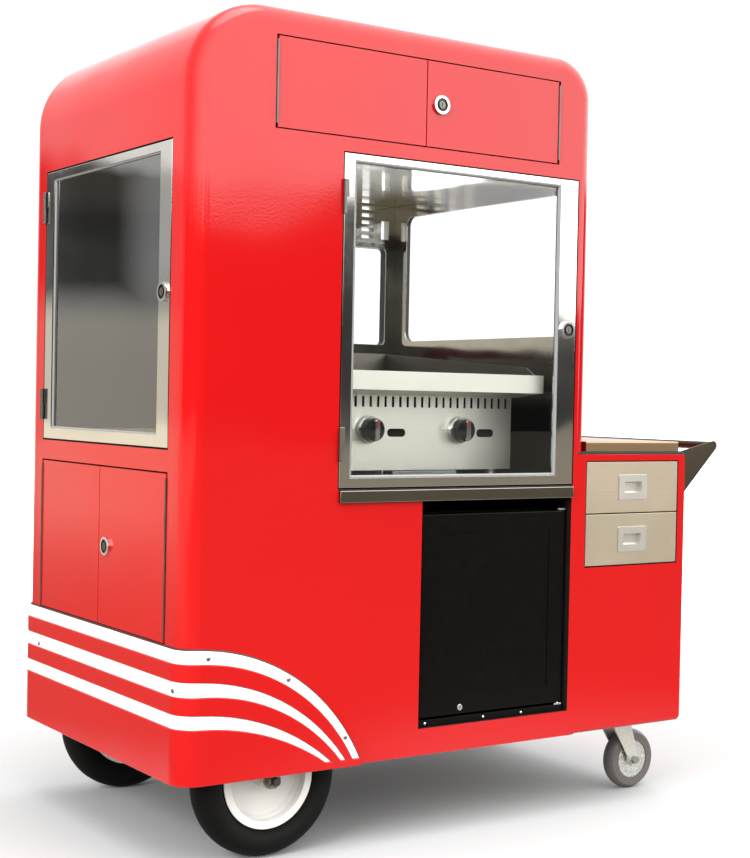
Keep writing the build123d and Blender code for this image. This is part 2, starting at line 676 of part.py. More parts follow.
# Push handle: two wedge cheeks on the low cabinet's end with a round bar between their tips.
HANDLE_TIP_X = BODY_RIGHT + HANDLE_REACH - HANDLE_TIP_RADIUS
HANDLE_TIP_Z = COUNTER_TOP + HANDLE_RISE
CHEEK_Y = into(HANDLE_INSET)
with BuildPart() as push_handle:
    for cheek_y in (CHEEK_Y + HANDLE_PLATE, -CHEEK_Y):
        with BuildSketch(front_view(cheek_y)):
            with Locations((BODY_RIGHT + HANDLE_PLATE / 2, COUNTER_TOP - HANDLE_DROP / 2)):
                Rectangle(HANDLE_PLATE, HANDLE_DROP)
            with Locations((HANDLE_TIP_X, HANDLE_TIP_Z)):
                Circle(HANDLE_TIP_RADIUS)
            make_hull()
        extrude(amount=HANDLE_PLATE)
    rod((HANDLE_TIP_X, CHEEK_Y, HANDLE_TIP_Z), (0, 1, 0), PUSH_BAR_RADIUS, -2 * CHEEK_Y)
keep(push_handle, "push_handle")

with BuildPart() as sill:
    block(grown(WINDOW_X, -DOOR_GAP), (into(-SILL_PROUD), FRONT_Y), (SILL_TOP - SILL_HEIGHT, SILL_TOP))
    fillet(sill.faces().sort_by(Axis.Y)[0].edges(), radius=SHEET)
keep(sill, "sill")

# Undercarriage: tube frame, fixed axle with two wheels, and two swivel casters under the handle end.
RAIL_Z = (RAIL_BOTTOM, RAIL_BOTTOM + TUBE)
WHEEL_Y = into(TYRE_INSET)
HUB_OUTER_Y = WHEEL_Y - HUB_LENGTH / 2
HUB_INNER_Y = WHEEL_Y + HUB_LENGTH / 2
RAIL_Y = HUB_INNER_Y + SHOULDER + TUBE / 2
RAIL_SPREAD = -2 * RAIL_Y
AXLE_END_Y = HUB_OUTER_Y - AXLE_TAIL
RAIL_END_X = (along(TUBE), BODY_RIGHT - SKIN - TUBE / 2)
CASTER_CENTRE_X = BODY_RIGHT - CASTER_MARGIN
CASTER_Y = into(CASTER_INSET)
CROSS_X = [CASTER_CENTRE_X - TUBE, CASTER_CENTRE_X + TUBE]
AXLE_CENTRE_X = along(AXLE_X)


def square_tube(plane, length):
    """Square tube along a plane's normal from its origin."""
    with BuildSketch(plane) as outline:
        Rectangle(TUBE, TUBE)
        Rectangle(TUBE - 2 * TUBE_WALL, TUBE - 2 * TUBE_WALL, mode=Mode.SUBTRACT)
    extrude(outline.sketch, amount=length)


with BuildPart() as chassis_frame:
    for rail_y in (-RAIL_SPREAD / 2, RAIL_SPREAD / 2):
        square_tube(Plane(origin=(RAIL_END_X[0], rail_y, middle(RAIL_Z)), z_dir=(1, 0, 0), x_dir=(0, 1, 0)),
                    RAIL_END_X[1] - RAIL_END_X[0])
        for post_x in (RAIL_END_X[0] + TUBE / 2, STEP_X - FLOOR_SHEET - TUBE / 2):
            square_tube(Plane(origin=(post_x, rail_y, RAIL_Z[1])), LOCKER_PAN_TOP - FLOOR_SHEET - RAIL_Z[1])
        block((AXLE_CENTRE_X - TUBE / 2, AXLE_CENTRE_X + TUBE / 2), (rail_y - TUBE / 2, rail_y + TUBE / 2),
              (TYRE_RADIUS - TUBE / 2, RAIL_Z[0]))
        with Locations(Plane(origin=(AXLE_CENTRE_X, rail_y, TYRE_RADIUS), z_dir=(0, 1, 0))):
            Cylinder(AXLE_RADIUS + RUNNING, 2 * TUBE, mode=Mode.SUBTRACT)
    inner_gap = RAIL_SPREAD - TUBE
    for cross_x in [RAIL_END_X[0] + TUBE / 2, STEP_X - TUBE / 2] + CROSS_X:
        square_tube(Plane(origin=(cross_x, -inner_gap / 2, middle(RAIL_Z)), z_dir=(0, 1, 0), x_dir=(1, 0, 0)),
                    inner_gap)
    outrigger = -into(CASTER_INSET - TUBE) - RAIL_SPREAD / 2 - TUBE / 2
    for cross_x in CROSS_X:
        for out_y in (RAIL_SPREAD / 2 + TUBE / 2, -RAIL_SPREAD / 2 - TUBE / 2 - outrigger):
            square_tube(Plane(origin=(cross_x, out_y, middle(RAIL_Z)), z_dir=(0, 1, 0), x_dir=(1, 0, 0)),
                        outrigger)
keep(chassis_frame, "chassis_frame")

SHOULDER_RADIUS = AXLE_RADIUS + SHOULDER_STEP
FLANGE_RADIUS = RIM_RADIUS + FLANGE_HEIGHT
with BuildPart() as axle:
    rod((AXLE_CENTRE_X, AXLE_END_Y, TYRE_RADIUS), (0, 1, 0), AXLE_RADIUS, -2 * AXLE_END_Y)
    for shoulder_y in (HUB_INNER_Y + SEAT, -HUB_INNER_Y - SHOULDER + SEAT):
        rod((AXLE_CENTRE_X, shoulder_y, TYRE_RADIUS), (0, 1, 0), SHOULDER_RADIUS, SHOULDER - 2 * SEAT)
    chamfer(axle.edges().filter_by(GeomType.CIRCLE).group_by(Axis.Y)[0], length=1.5)
    chamfer(axle.edges().filter_by(GeomType.CIRCLE).group_by(Axis.Y)[-1], length=1.5)
keep(axle, "axle")

with BuildPart() as axle_nuts:
    for side in (-1, 1):
        seat_y = side * (-HUB_OUTER_Y + SEAT)
        nut_plane = Plane(origin=(AXLE_CENTRE_X, seat_y, TYRE_RADIUS), z_dir=(0, side, 0))
        with BuildSketch(nut_plane):
            Circle(HUB_RADIUS - SHEET)
            Circle(AXLE_RADIUS + RUNNING, mode=Mode.SUBTRACT)
        extrude(amount=WASHER)
        with BuildSketch(nut_plane.offset(WASHER)):
            RegularPolygon(NUT_WIDTH / 2, 6, major_radius=False)
            Circle(AXLE_RADIUS + RUNNING, mode=Mode.SUBTRACT)
        extrude(amount=NUT_HEIGHT)
        with BuildSketch(nut_plane.offset(WASHER + NUT_HEIGHT * 0.6)):
            with PolarLocations(NUT_WIDTH / 2, 6):
                Rectangle(NUT_WIDTH / 2, WASHER)
        extrude(amount=NUT_HEIGHT, mode=Mode.SUBTRACT)
keep(axle_nuts, "axle_nuts")


def wheel_plane(side):
    """Half-section plane of a main wheel: sketch x is the radius, sketch y points outwards."""
    return Plane(origin=(AXLE_CENTRE_X, side * -WHEEL_Y, TYRE_RADIUS), x_dir=(0, 0, 1), z_dir=(-side, 0, 0))


def wheel_axis(side):
    """Axle line through a main wheel."""
    return Axis((AXLE_CENTRE_X, side * -WHEEL_Y, TYRE_RADIUS), (0, 1, 0))


for side, place in ((-1, "front"), (1, "back")):
    half_rim = RIM_WIDTH / 2
    dish = half_rim / 3
    with BuildPart() as wheel:
        with BuildSketch(wheel_plane(side)):
            with BuildLine():
                Polyline(
                    (AXLE_RADIUS + RUNNING, -HUB_LENGTH / 2),
                    (HUB_RADIUS, -HUB_LENGTH / 2),
                    (HUB_RADIUS, -dish),
                    (RIM_RADIUS - 2 * DISC_THICKNESS, DISC_THICKNESS - dish),
                    (RIM_RADIUS - DISC_THICKNESS, DISC_THICKNESS - dish),
                    (RIM_RADIUS - DISC_THICKNESS, -half_rim),
                    (FLANGE_RADIUS, -half_rim),
                    (FLANGE_RADIUS, DISC_THICKNESS - half_rim),
                    (RIM_RADIUS, DISC_THICKNESS - half_rim),
                    (RIM_RADIUS, half_rim - DISC_THICKNESS),
                    (FLANGE_RADIUS, half_rim - DISC_THICKNESS),
                    (FLANGE_RADIUS, half_rim),
                    (RIM_RADIUS - DISC_THICKNESS, half_rim),
                    (RIM_RADIUS - DISC_THICKNESS, 2 * DISC_THICKNESS),
                    (RIM_RADIUS - 3 * DISC_THICKNESS, 2 * DISC_THICKNESS - dish),
                    (HUB_RADIUS, DISC_THICKNESS - dish),
                    (HUB_RADIUS, HUB_LENGTH / 2),
                    (AXLE_RADIUS + RUNNING, HUB_LENGTH / 2),
                    close=True,
                )
            make_face()
        revolve(axis=wheel_axis(side))
        circles = wheel.edges().filter_by(GeomType.CIRCLE)
        rims = circles.filter_by(lambda edge: abs(edge.radius - FLANGE_RADIUS) < SEAT)
        fillet(rims, radius=DISC_THICKNESS * 0.4)
    keep(wheel, f"wheel_{place}")

    bead = half_rim - DISC_THICKNESS - SEAT
    shoulder_radius = TYRE_RADIUS - TYRE_WIDTH * 0.2
    with BuildPart() as tyre:
        with BuildSketch(wheel_plane(side)):
            with BuildLine():
                Polyline(
                    (FLANGE_RADIUS + SHEET, bead),
                    (RIM_RADIUS + SEAT, bead),
                    (RIM_RADIUS + SEAT, -bead),
                    (FLANGE_RADIUS + SHEET, -bead),
                )
                ThreePointArc(
                    (FLANGE_RADIUS + SHEET, -bead),
                    ((FLANGE_RADIUS + shoulder_radius) / 2, -TYRE_WIDTH / 2),
                    (shoulder_radius, -TYRE_WIDTH * 0.45),
                )
                ThreePointArc(
                    (shoulder_radius, -TYRE_WIDTH * 0.45),
                    (TYRE_RADIUS, 0),
                    (shoulder_radius, TYRE_WIDTH * 0.45),
                )
                ThreePointArc(
                    (shoulder_radius, TYRE_WIDTH * 0.45),
                    ((FLANGE_RADIUS + shoulder_radius) / 2, TYRE_WIDTH / 2),
                    (FLANGE_RADIUS + SHEET, bead),
                )
            make_face()
        revolve(axis=wheel_axis(side))
    keep(tyre, f"tyre_{place}")

with BuildPart() as caster_plates:
    for side in (-1, 1):
        centre = (CASTER_CENTRE_X, -side * CASTER_Y)
        with BuildSketch(Plane.XY.offset(RAIL_Z[0] - PLATE_SHEET)):
            with Locations(centre):
                RectangleRounded(PLATE_LENGTH, PLATE_WIDTH, LOW_EDGE_RADIUS)
        extrude(amount=PLATE_SHEET)
        rod((*centre, RACE_SPLIT + SEAT), (0, 0, 1), RACE_RADIUS + SHEET, PLATE_RACE - SEAT)
        rod((*centre, CROWN_TOP - FORK_SHEET - SEAT), (0, 0, 1), KINGPIN_RADIUS, RAIL_Z[0] - CROWN_TOP)
        rod((*centre, CROWN_TOP - FORK_SHEET - SEAT), (0, 0, -1), KINGPIN_RADIUS + SKIN, FORK_SHEET)
keep(caster_plates, "caster_plates")

LEG_Y = CASTER_WIDTH / 2 + SKIN
for side, place in ((-1, "front"), (1, "back")):
    caster_y = -side * CASTER_Y
    wheel_x = CASTER_CENTRE_X + CASTER_TRAIL
    caster_axis = Axis((wheel_x, caster_y, CASTER_RADIUS), (0, 1, 0))
    with BuildPart() as fork:
        block((CASTER_CENTRE_X - RACE_RADIUS, CASTER_CENTRE_X + RACE_RADIUS),
              (caster_y - LEG_Y - FORK_SHEET, caster_y + LEG_Y + FORK_SHEET),
              (CROWN_TOP - FORK_SHEET, CROWN_TOP))
        rod((CASTER_CENTRE_X, caster_y, CROWN_TOP), (0, 0, 1), RACE_RADIUS, RACE_SPLIT - CROWN_TOP)
        for leg_y in (caster_y - LEG_Y, caster_y + LEG_Y + FORK_SHEET):
            with BuildSketch(front_view(leg_y)):
                with Locations((CASTER_CENTRE_X, CROWN_TOP - FORK_SHEET)):
                    Rectangle(2 * RACE_RADIUS, 2 * FORK_SHEET)
                with Locations((wheel_x, CASTER_RADIUS)):
                    Circle(2.5 * CASTER_BOLT_RADIUS)
                make_hull()
            extrude(amount=FORK_SHEET)
        rod((CASTER_CENTRE_X, caster_y, CASTER_RADIUS), (0, 0, 1), KINGPIN_RADIUS + RUNNING, RAIL_Z[0],
            Mode.SUBTRACT)
        rod((wheel_x, caster_y - 2 * LEG_Y, CASTER_RADIUS), (0, 1, 0), CASTER_BOLT_RADIUS + RUNNING,
            4 * LEG_Y, Mode.SUBTRACT)
    keep(fork, f"caster_fork_{place}")

    half_width = CASTER_WIDTH / 2
    section = Plane(origin=(wheel_x, caster_y, CASTER_RADIUS), x_dir=(0, 0, 1), z_dir=(-1, 0, 0))
    with BuildPart() as hub:
        with BuildSketch(section):
            with BuildLine():
                Polyline(
                    (CASTER_BOLT_RADIUS + RUNNING, -half_width - SHEET),
                    (2 * CASTER_BOLT_RADIUS, -half_width - SHEET),
                    (3 * CASTER_BOLT_RADIUS, -half_width + SKIN),
                    (CASTER_CORE_RADIUS, -half_width + SHEET),
                    (CASTER_CORE_RADIUS, half_width - SHEET),
                    (3 * CASTER_BOLT_RADIUS, half_width - SKIN),
                    (2 * CASTER_BOLT_RADIUS, half_width + SHEET),
                    (CASTER_BOLT_RADIUS + RUNNING, half_width + SHEET),
                    close=True,
                )
            make_face()
        revolve(axis=caster_axis)
    keep(hub, f"caster_hub_{place}")

    with BuildPart() as tread:
        with BuildSketch(section):
            with BuildLine():
                Polyline(
                    (CASTER_RADIUS - half_width / 2, half_width),
                    (CASTER_CORE_RADIUS + SEAT, half_width),
                    (CASTER_CORE_RADIUS + SEAT, -half_width),
                    (CASTER_RADIUS - half_width / 2, -half_width),
                )
                ThreePointArc(
                    (CASTER_RADIUS - half_width / 2, -half_width),
                    (CASTER_RADIUS, 0),
                    (CASTER_RADIUS - half_width / 2, half_width),
                )
            make_face()
        revolve(axis=caster_axis)
    keep(tread, f"caster_tread_{place}")

    with BuildPart() as bolt:
        bolt_half = LEG_Y + FORK_SHEET + SKIN
        rod((wheel_x, caster_y - bolt_half, CASTER_RADIUS), (0, 1, 0), CASTER_BOLT_RADIUS, 2 * bolt_half)
        for head_y in (caster_y - bolt_half - SKIN, caster_y + LEG_Y + FORK_SHEET + SEAT):
            head_plane = Plane(origin=(wheel_x, head_y, CASTER_RADIUS), z_dir=(0, 1, 0), x_dir=(1, 0, 0))
            with BuildSketch(head_plane):
                RegularPolygon(1.7 * CASTER_BOLT_RADIUS, 6, major_radius=False)
            extrude(amount=2 * SKIN - SEAT)
    keep(bolt, f"caster_bolt_{place}")

# Hinges: lift-off hinges carry the glass doors, piano hinges carry the red doors.
fixed_leaves = []
pins = []


class HingeLine:
    """Upright hinge line: origin in plan, the way the door runs from it, and the way out of the cart."""

    def __init__(self, x, y, run, out):
        self.x = x
        self.y = y
        self.run = run
        self.out = out

    def span(self, along_run, along_out):
        """X and Y spans of a rectangle given along the door's run and outwards."""
        corners = []
        for a, b in zip(along_run, along_out):
            x = self.x + a * self.run[0] + b * self.out[0]
            y = self.y + a * self.run[1] + b * self.out[1]
            corners.append((x, y))
        return (tuple(sorted(c[0] for c in corners)), tuple(sorted(c[1] for c in corners)))


def hinge_barrel(line, z, radius, bore):
    """Knuckle round the hinge line with a bore for its pin."""
    rod((line.x, line.y, z[0]), (0, 0, 1), radius, z[1] - z[0])
    rod((line.x, line.y, z[0]), (0, 0, 1), bore, z[1] - z[0], Mode.SUBTRACT)


def lift_door_knuckle(line, z):
    """Upper knuckle of a lift-off hinge with its leaf on the door frame's face."""
    x, y = line.span((0, 3 * LIFT_BARREL_RADIUS), (-LIFT_BARREL_RADIUS - LIFT_GAP, -LIFT_BARREL_RADIUS + 1))
    block(x, y, z)
    hinge_barrel(line, z, LIFT_BARREL_RADIUS, LIFT_PIN_RADIUS + RUNNING)


def lift_fixed_leaf(line, z):
    """Lower knuckle of a lift-off hinge with its leaf on the jamb."""
    with BuildPart() as leaf:
        x, y = line.span((-LIFT_LEAF, 0), (-JAMB_DEPTH + STOP_THICKNESS, 0))
        block(x, y, z)
        hinge_barrel(line, z, LIFT_BARREL_RADIUS, LIFT_PIN_RADIUS + RUNNING)
    return leaf.part


def hinge_pin(line, z, radius):
    """Straight pin on a hinge line."""
    with BuildPart() as pin:
        rod((line.x, line.y, z[0]), (0, 0, 1), radius, z[1] - z[0])
    return pin.part


def piano_knuckles(z, moving):
    """Spans of the moving or the fixed knuckles along a piano hinge."""
    count = int((z[1] - z[0]) // PIANO_KNUCKLE)
    pitch = (z[1] - z[0]) / count
    spans = []
    for index in range(count):
        if index % 2 == moving:
            low = z[0] + index * pitch
            spans.append((low + SEAT / 2, low + pitch - SEAT / 2))
    return spans


def piano_leaf(line, z, moving):
    """One leaf of a piano hinge with its knuckles: the moving leaf lies on the door's edge."""
    reach = PIANO_GAP / 2
    near = reach - PIANO_LEAF
    run = (near, reach) if moving else (-reach, -near)
    x, y = line.span(run, (-PANEL_DEPTH + SKIN, -PIANO_BARREL_RADIUS + 1))
    block(x, y, z)
    for knuckle in piano_knuckles(z, moving):
        arm = (0, reach) if moving else (-reach, 0)
        x, y = line.span(arm, (-PIANO_BARREL_RADIUS, -PIANO_BARREL_RADIUS + PIANO_LEAF))
        block(x, y, knuckle)
        hinge_barrel(line, knuckle, PIANO_BARREL_RADIUS, PIANO_PIN_RADIUS + RUNNING)


def lock_body(plane, grip, cam_length):
    """Lock face, plug and cam on a plane that looks outwards; the cam hangs behind the door at depth grip."""
    with BuildSketch(plane.offset(SEAT)) as bezel:
        Circle(LOCK_RADIUS)
    extrude(bezel.sketch, amount=LOCK_PROUD)
    with BuildSketch(plane.offset(LOCK_PROUD + SEAT)) as recess:
        Circle(LOCK_RADIUS * 0.72)
        Circle(PLUG_RADIUS * 0.9, mode=Mode.SUBTRACT)
    extrude(recess.sketch, amount=-LOCK_PROUD / 2, mode=Mode.SUBTRACT)
    with BuildSketch(plane.offset(SEAT)) as plug:
        Circle(PLUG_RADIUS)
    extrude(plug.sketch, amount=-grip - CAM_THICKNESS - SEAT)
    with BuildSketch(plane.offset(-grip)) as cam:
        with Locations((0, -cam_length / 2)):
            SlotOverall(cam_length + CAM_WIDTH, CAM_WIDTH, rotation=90)
    extrude(cam.sketch, amount=-CAM_THICKNESS)


def keyway(plane):
    """Key slot in the plug's face."""
    with BuildSketch(plane.offset(LOCK_PROUD + SEAT)) as slot:
        SlotOverall(PLUG_RADIUS, SHEET, rotation=90)
    extrude(slot.sketch, amount=-LOCK_PROUD, mode=Mode.SUBTRACT)


# Front glass door: framed pane on two lift-off hinges at the closed end's side.
HINGE_Z = [0.13, 0.87]


def lift_hinge_spans(z):
    """Fixed and moving knuckle spans of a door's two lift-off hinges."""
    spans = []
    for share in HINGE_Z:
        mid = z[0] + share * (z[1] - z[0])
        spans.append(((mid - LIFT_KNUCKLE, mid - SEAT), (mid + SEAT, mid + LIFT_KNUCKLE)))
    return spans


FRONT_DOOR_X = (WINDOW_X[0] + LIFT_LEAF + LIFT_GAP, WINDOW_X[1] - DOOR_GAP)
FRONT_DOOR_Z = grown(WINDOW_Z, -DOOR_GAP)
FRAME_Y = (FRONT_Y, into(FRAME_DEPTH))
FRONT_PANE_X = (FRONT_DOOR_X[0] + FRONT_STILE, FRONT_DOOR_X[1] - FRONT_LOCK_STILE)
FRONT_PANE_Z = (FRONT_DOOR_Z[0] + FRONT_BOTTOM_RAIL, FRONT_DOOR_Z[1] - FRONT_TOP_RAIL)
PANE_Y = (into(FRAME_DEPTH / 2 - GLASS / 2), into(FRAME_DEPTH / 2 + GLASS / 2))
FRONT_LOCK = Plane(origin=(FRONT_DOOR_X[1] - FRONT_LOCK_STILE / 2, FRONT_Y, SILL_TOP + FRONT_LOCK_RISE),
                   z_dir=(0, -1, 0), x_dir=(1, 0, 0))
front_hinge = HingeLine(WINDOW_X[0] + LIFT_LEAF, into(-LIFT_BARREL_RADIUS - LIFT_GAP), (1, 0), (0, -1))

with BuildPart() as front_door_frame:
    block(FRONT_DOOR_X, FRAME_Y, FRONT_DOOR_Z)
    fillet(front_door_frame.faces().sort_by(Axis.Y)[0].edges(), radius=1.5)
    block(FRONT_PANE_X, grown(FRAME_Y, SKIN), FRONT_PANE_Z, Mode.SUBTRACT)
    block(grown(FRONT_PANE_X, GLASS_BITE + SEAT), grown(PANE_Y, SEAT), grown(FRONT_PANE_Z, GLASS_BITE + SEAT),
          Mode.SUBTRACT)
    with BuildSketch(FRONT_LOCK):
        Circle(PLUG_RADIUS + RUNNING)
    extrude(amount=-2 * FRAME_DEPTH, mode=Mode.SUBTRACT)
    for fixed_z, moving_z in lift_hinge_spans(FRONT_DOOR_Z):
        lift_door_knuckle(front_hinge, moving_z)
keep(front_door_frame, "front_door_frame")

with BuildPart() as front_door_glass:
    block(grown(FRONT_PANE_X, GLASS_BITE), PANE_Y, grown(FRONT_PANE_Z, GLASS_BITE))
keep(front_door_glass, "front_door_glass")

CAM_GRIP = JAMB_DEPTH + FRAME_CAM_GAP
with BuildPart() as front_door_lock:
    lock_body(FRONT_LOCK, CAM_GRIP, FRONT_LOCK_STILE / 2)
    keyway(FRONT_LOCK)
keep(front_door_lock, "front_door_lock")

# End glass door: the same construction on the closed end, hinged at the back.
END_DOOR_Y = (END_OPENING_Y[0] + DOOR_GAP, END_OPENING_Y[1] - LIFT_LEAF - LIFT_GAP)
END_DOOR_Z = grown(END_GLASS_Z, -DOOR_GAP)
END_FRAME_X = (END_X, END_X + FRAME_DEPTH)
END_PANE_Y = (END_DOOR_Y[0] + END_LOCK_STILE, END_DOOR_Y[1] - END_STILE)
END_PANE_Z = (END_DOOR_Z[0] + END_BOTTOM_RAIL, END_DOOR_Z[1] - END_TOP_RAIL)
END_PANE_X = (END_X + FRAME_DEPTH / 2 - GLASS / 2, END_X + FRAME_DEPTH / 2 + GLASS / 2)
END_LOCK = Plane(origin=(END_X, END_DOOR_Y[0] + END_LOCK_STILE / 2, END_GLASS_FLOOR + END_LOCK_RISE),
                 z_dir=(-1, 0, 0), x_dir=(0, -1, 0))
end_hinge = HingeLine(END_X - LIFT_BARREL_RADIUS - LIFT_GAP, END_OPENING_Y[1] - LIFT_LEAF, (0, -1), (-1, 0))

with BuildPart() as end_door_frame:
    block(END_FRAME_X, END_DOOR_Y, END_DOOR_Z)
    fillet(end_door_frame.faces().sort_by(Axis.X)[0].edges(), radius=1.5)
    block(grown(END_FRAME_X, SKIN), END_PANE_Y, END_PANE_Z, Mode.SUBTRACT)
    block(grown(END_PANE_X, SEAT), grown(END_PANE_Y, GLASS_BITE + SEAT), grown(END_PANE_Z, GLASS_BITE + SEAT),
          Mode.SUBTRACT)
    with BuildSketch(END_LOCK):
        Circle(PLUG_RADIUS + RUNNING)
    extrude(amount=-2 * FRAME_DEPTH, mode=Mode.SUBTRACT)
    for fixed_z, moving_z in lift_hinge_spans(END_DOOR_Z):
        lift_door_knuckle(end_hinge, moving_z)
keep(end_door_frame, "end_door_frame")

with BuildPart() as end_door_glass:
    block(END_PANE_X, grown(END_PANE_Y, GLASS_BITE), grown(END_PANE_Z, GLASS_BITE))
keep(end_door_glass, "end_door_glass")

with BuildPart() as end_door_lock:
    lock_body(END_LOCK, CAM_GRIP, END_LOCK_STILE / 2)
    keyway(END_LOCK)
keep(end_door_lock, "end_door_lock")

for line, door_z in ((front_hinge, FRONT_DOOR_Z), (end_hinge, END_DOOR_Z)):
    for fixed_z, moving_z in lift_hinge_spans(door_z):
        fixed_leaves.append(lift_fixed_leaf(line, fixed_z))
        pins.append(hinge_pin(line, (fixed_z[0], moving_z[1]), LIFT_PIN_RADIUS))

# Red doors: pans with a boss for the lock, hung on piano hinges at their outer edges.
UPPER_LOCK = Plane(origin=(middle(UPPER_X) + UPPER_LOCK_SHIFT, FRONT_Y, middle(UPPER_Z)), z_dir=(0, -1, 0),
                   x_dir=(1, 0, 0))
LOCKER_LOCK = Plane(origin=(END_X, -LOCKER_LOCK_SHIFT, middle(LOCKER_Z)), z_dir=(-1, 0, 0), x_dir=(0, -1, 0))
PANEL_GRIP = PANEL_DEPTH + PANEL_CAM_GAP
PIANO_OUT = PIANO_BARREL_RADIUS - 1


def panel_door(line, length, z, lock, name):
    """Red door pan running from a piano hinge; lock is None or the plane of its lock."""
    hinge_z = grown(z, -2 * SKIN)
    with BuildPart() as door:
        x, y = line.span((PIANO_GAP / 2, length), (-PANEL_DEPTH - PIANO_OUT, -PIANO_OUT))
        block(x, y, z)
        x, y = line.span((PIANO_GAP / 2 + SKIN, length - SKIN), (-PANEL_DEPTH - PIANO_OUT, -SKIN - PIANO_OUT))
        block(x, y, grown(z, -SKIN), Mode.SUBTRACT)
        if lock:
            with BuildSketch(lock.offset(-SKIN / 2)):
                Circle(PLUG_RADIUS + SKIN)
            extrude(amount=-PANEL_DEPTH + SKIN / 2)
            with BuildSketch(lock):
                Circle(PLUG_RADIUS + RUNNING)
            extrude(amount=-PANEL_DEPTH, mode=Mode.SUBTRACT)
        piano_leaf(line, hinge_z, 1)
    keep(door, name)
    with BuildPart() as leaf:
        piano_leaf(line, hinge_z, 0)
    fixed_leaves.append(leaf.part)
    pins.append(hinge_pin(line, hinge_z, PIANO_PIN_RADIUS))


UPPER_DOOR_Z = grown(UPPER_Z, -DOOR_GAP)
LOCKER_DOOR_Z = grown(LOCKER_Z, -DOOR_GAP)
upper_leaf = (UPPER_X[1] - UPPER_X[0] - PIANO_GAP - DOOR_GAP) / 2
locker_leaf = (END_OPENING_Y[1] - END_OPENING_Y[0] - PIANO_GAP - DOOR_GAP) / 2
upper_left_line = HingeLine(UPPER_X[0] + PIANO_GAP / 2, FRONT_Y - PIANO_OUT, (1, 0), (0, -1))
upper_right_line = HingeLine(UPPER_X[1] - PIANO_GAP / 2, FRONT_Y - PIANO_OUT, (-1, 0), (0, -1))
locker_back_line = HingeLine(END_X - PIANO_OUT, END_OPENING_Y[1] - PIANO_GAP / 2, (0, -1), (-1, 0))
locker_front_line = HingeLine(END_X - PIANO_OUT, END_OPENING_Y[0] + PIANO_GAP / 2, (0, 1), (-1, 0))
panel_door(upper_left_line, upper_leaf, UPPER_DOOR_Z, None, "upper_door_left")
panel_door(upper_right_line, upper_leaf, UPPER_DOOR_Z, UPPER_LOCK, "upper_door_right")
panel_door(locker_back_line, locker_leaf, LOCKER_DOOR_Z, None, "locker_door_back")
panel_door(locker_front_line, locker_leaf, LOCKER_DOOR_Z, LOCKER_LOCK, "locker_door_front")

for lock_plane, name in ((UPPER_LOCK, "upper_door_lock"), (LOCKER_LOCK, "locker_door_lock")):
    with BuildPart() as panel_lock:
        lock_body(lock_plane, PANEL_GRIP, CATCH_LENGTH)
        keyway(lock_plane)
    keep(panel_lock, name)

with BuildPart() as hinge_leaves:
    for leaf_part in fixed_leaves:
        add(leaf_part)
keep(hinge_leaves, "hinge_leaves")

with BuildPart() as hinge_pins:
    for pin_part in pins:
        add(pin_part)
keep(hinge_pins, "hinge_pins")

# Drawers on side runners in the low cabinet: trays behind folded fronts with recessed pulls.
DRAWER_SPLIT = middle(DRAWER_BAY_Z)
DRAWER_FACE_X = grown(DRAWER_BAY_X, -DOOR_GAP)
DRAWER_BOX_X = grown(DRAWER_BAY_X, -RUNNER_WIDTH - SEAT)
RUNNER_Y = (into(JAMB_DEPTH + SEAT), into(DRAWER_DEPTH))
TONGUE = RUNNER_HEIGHT / 4
drawer_spans = {
    "top": (DRAWER_SPLIT + DOOR_GAP / 2, DRAWER_BAY_Z[1] - DOOR_GAP),
    "bottom": (DRAWER_BAY_Z[0] + DOOR_GAP, DRAWER_SPLIT - DOOR_GAP / 2),
}
for name, face_z in drawer_spans.items():
    box_z = (face_z[0] + SKIN, face_z[1] - 5 * SKIN)
    pull_centre = (middle(DRAWER_FACE_X), middle(face_z))
    with BuildPart() as drawer_front:
        block(DRAWER_FACE_X, (FRONT_Y, into(DRAWER_FACE_DEPTH)), face_z)
        chamfer(drawer_front.faces().sort_by(Axis.Y)[0].edges(), length=1)
        block(grown(DRAWER_FACE_X, -DRAWER_WALL), (into(DRAWER_WALL), into(DRAWER_FACE_DEPTH)),
              grown(face_z, -DRAWER_WALL), Mode.SUBTRACT)
        with BuildSketch(front_view(into(DRAWER_FACE_DEPTH))):
            with Locations(pull_centre):
                RectangleRounded(PULL_WIDTH, PULL_HEIGHT, SKIN)
        extrude(amount=DRAWER_FACE_DEPTH + SHEET)
        with BuildSketch(front_view(FRONT_Y - SHEET)):
            with Locations(pull_centre):
                Rectangle(CUP_WIDTH, CUP_HEIGHT)
        extrude(amount=-CUP_DEPTH, taper=12, mode=Mode.SUBTRACT)
    keep(drawer_front, f"drawer_front_{name}")
    with BuildPart() as drawer_tray:
        tray_y = (into(DRAWER_FACE_DEPTH), into(DRAWER_DEPTH))
        block(DRAWER_BOX_X, tray_y, box_z)
        block(grown(DRAWER_BOX_X, -DRAWER_WALL), grown(tray_y, -DRAWER_WALL),
              (box_z[0] + DRAWER_WALL, box_z[1] + SKIN), Mode.SUBTRACT)
        for tongue_x in ((DRAWER_BOX_X[0] - RUNNER_WIDTH / 2, DRAWER_BOX_X[0]),
                         (DRAWER_BOX_X[1], DRAWER_BOX_X[1] + RUNNER_WIDTH / 2)):
            block(tongue_x, RUNNER_Y, (middle(box_z) - TONGUE, middle(box_z) + TONGUE))
    keep(drawer_tray, f"drawer_{name}")

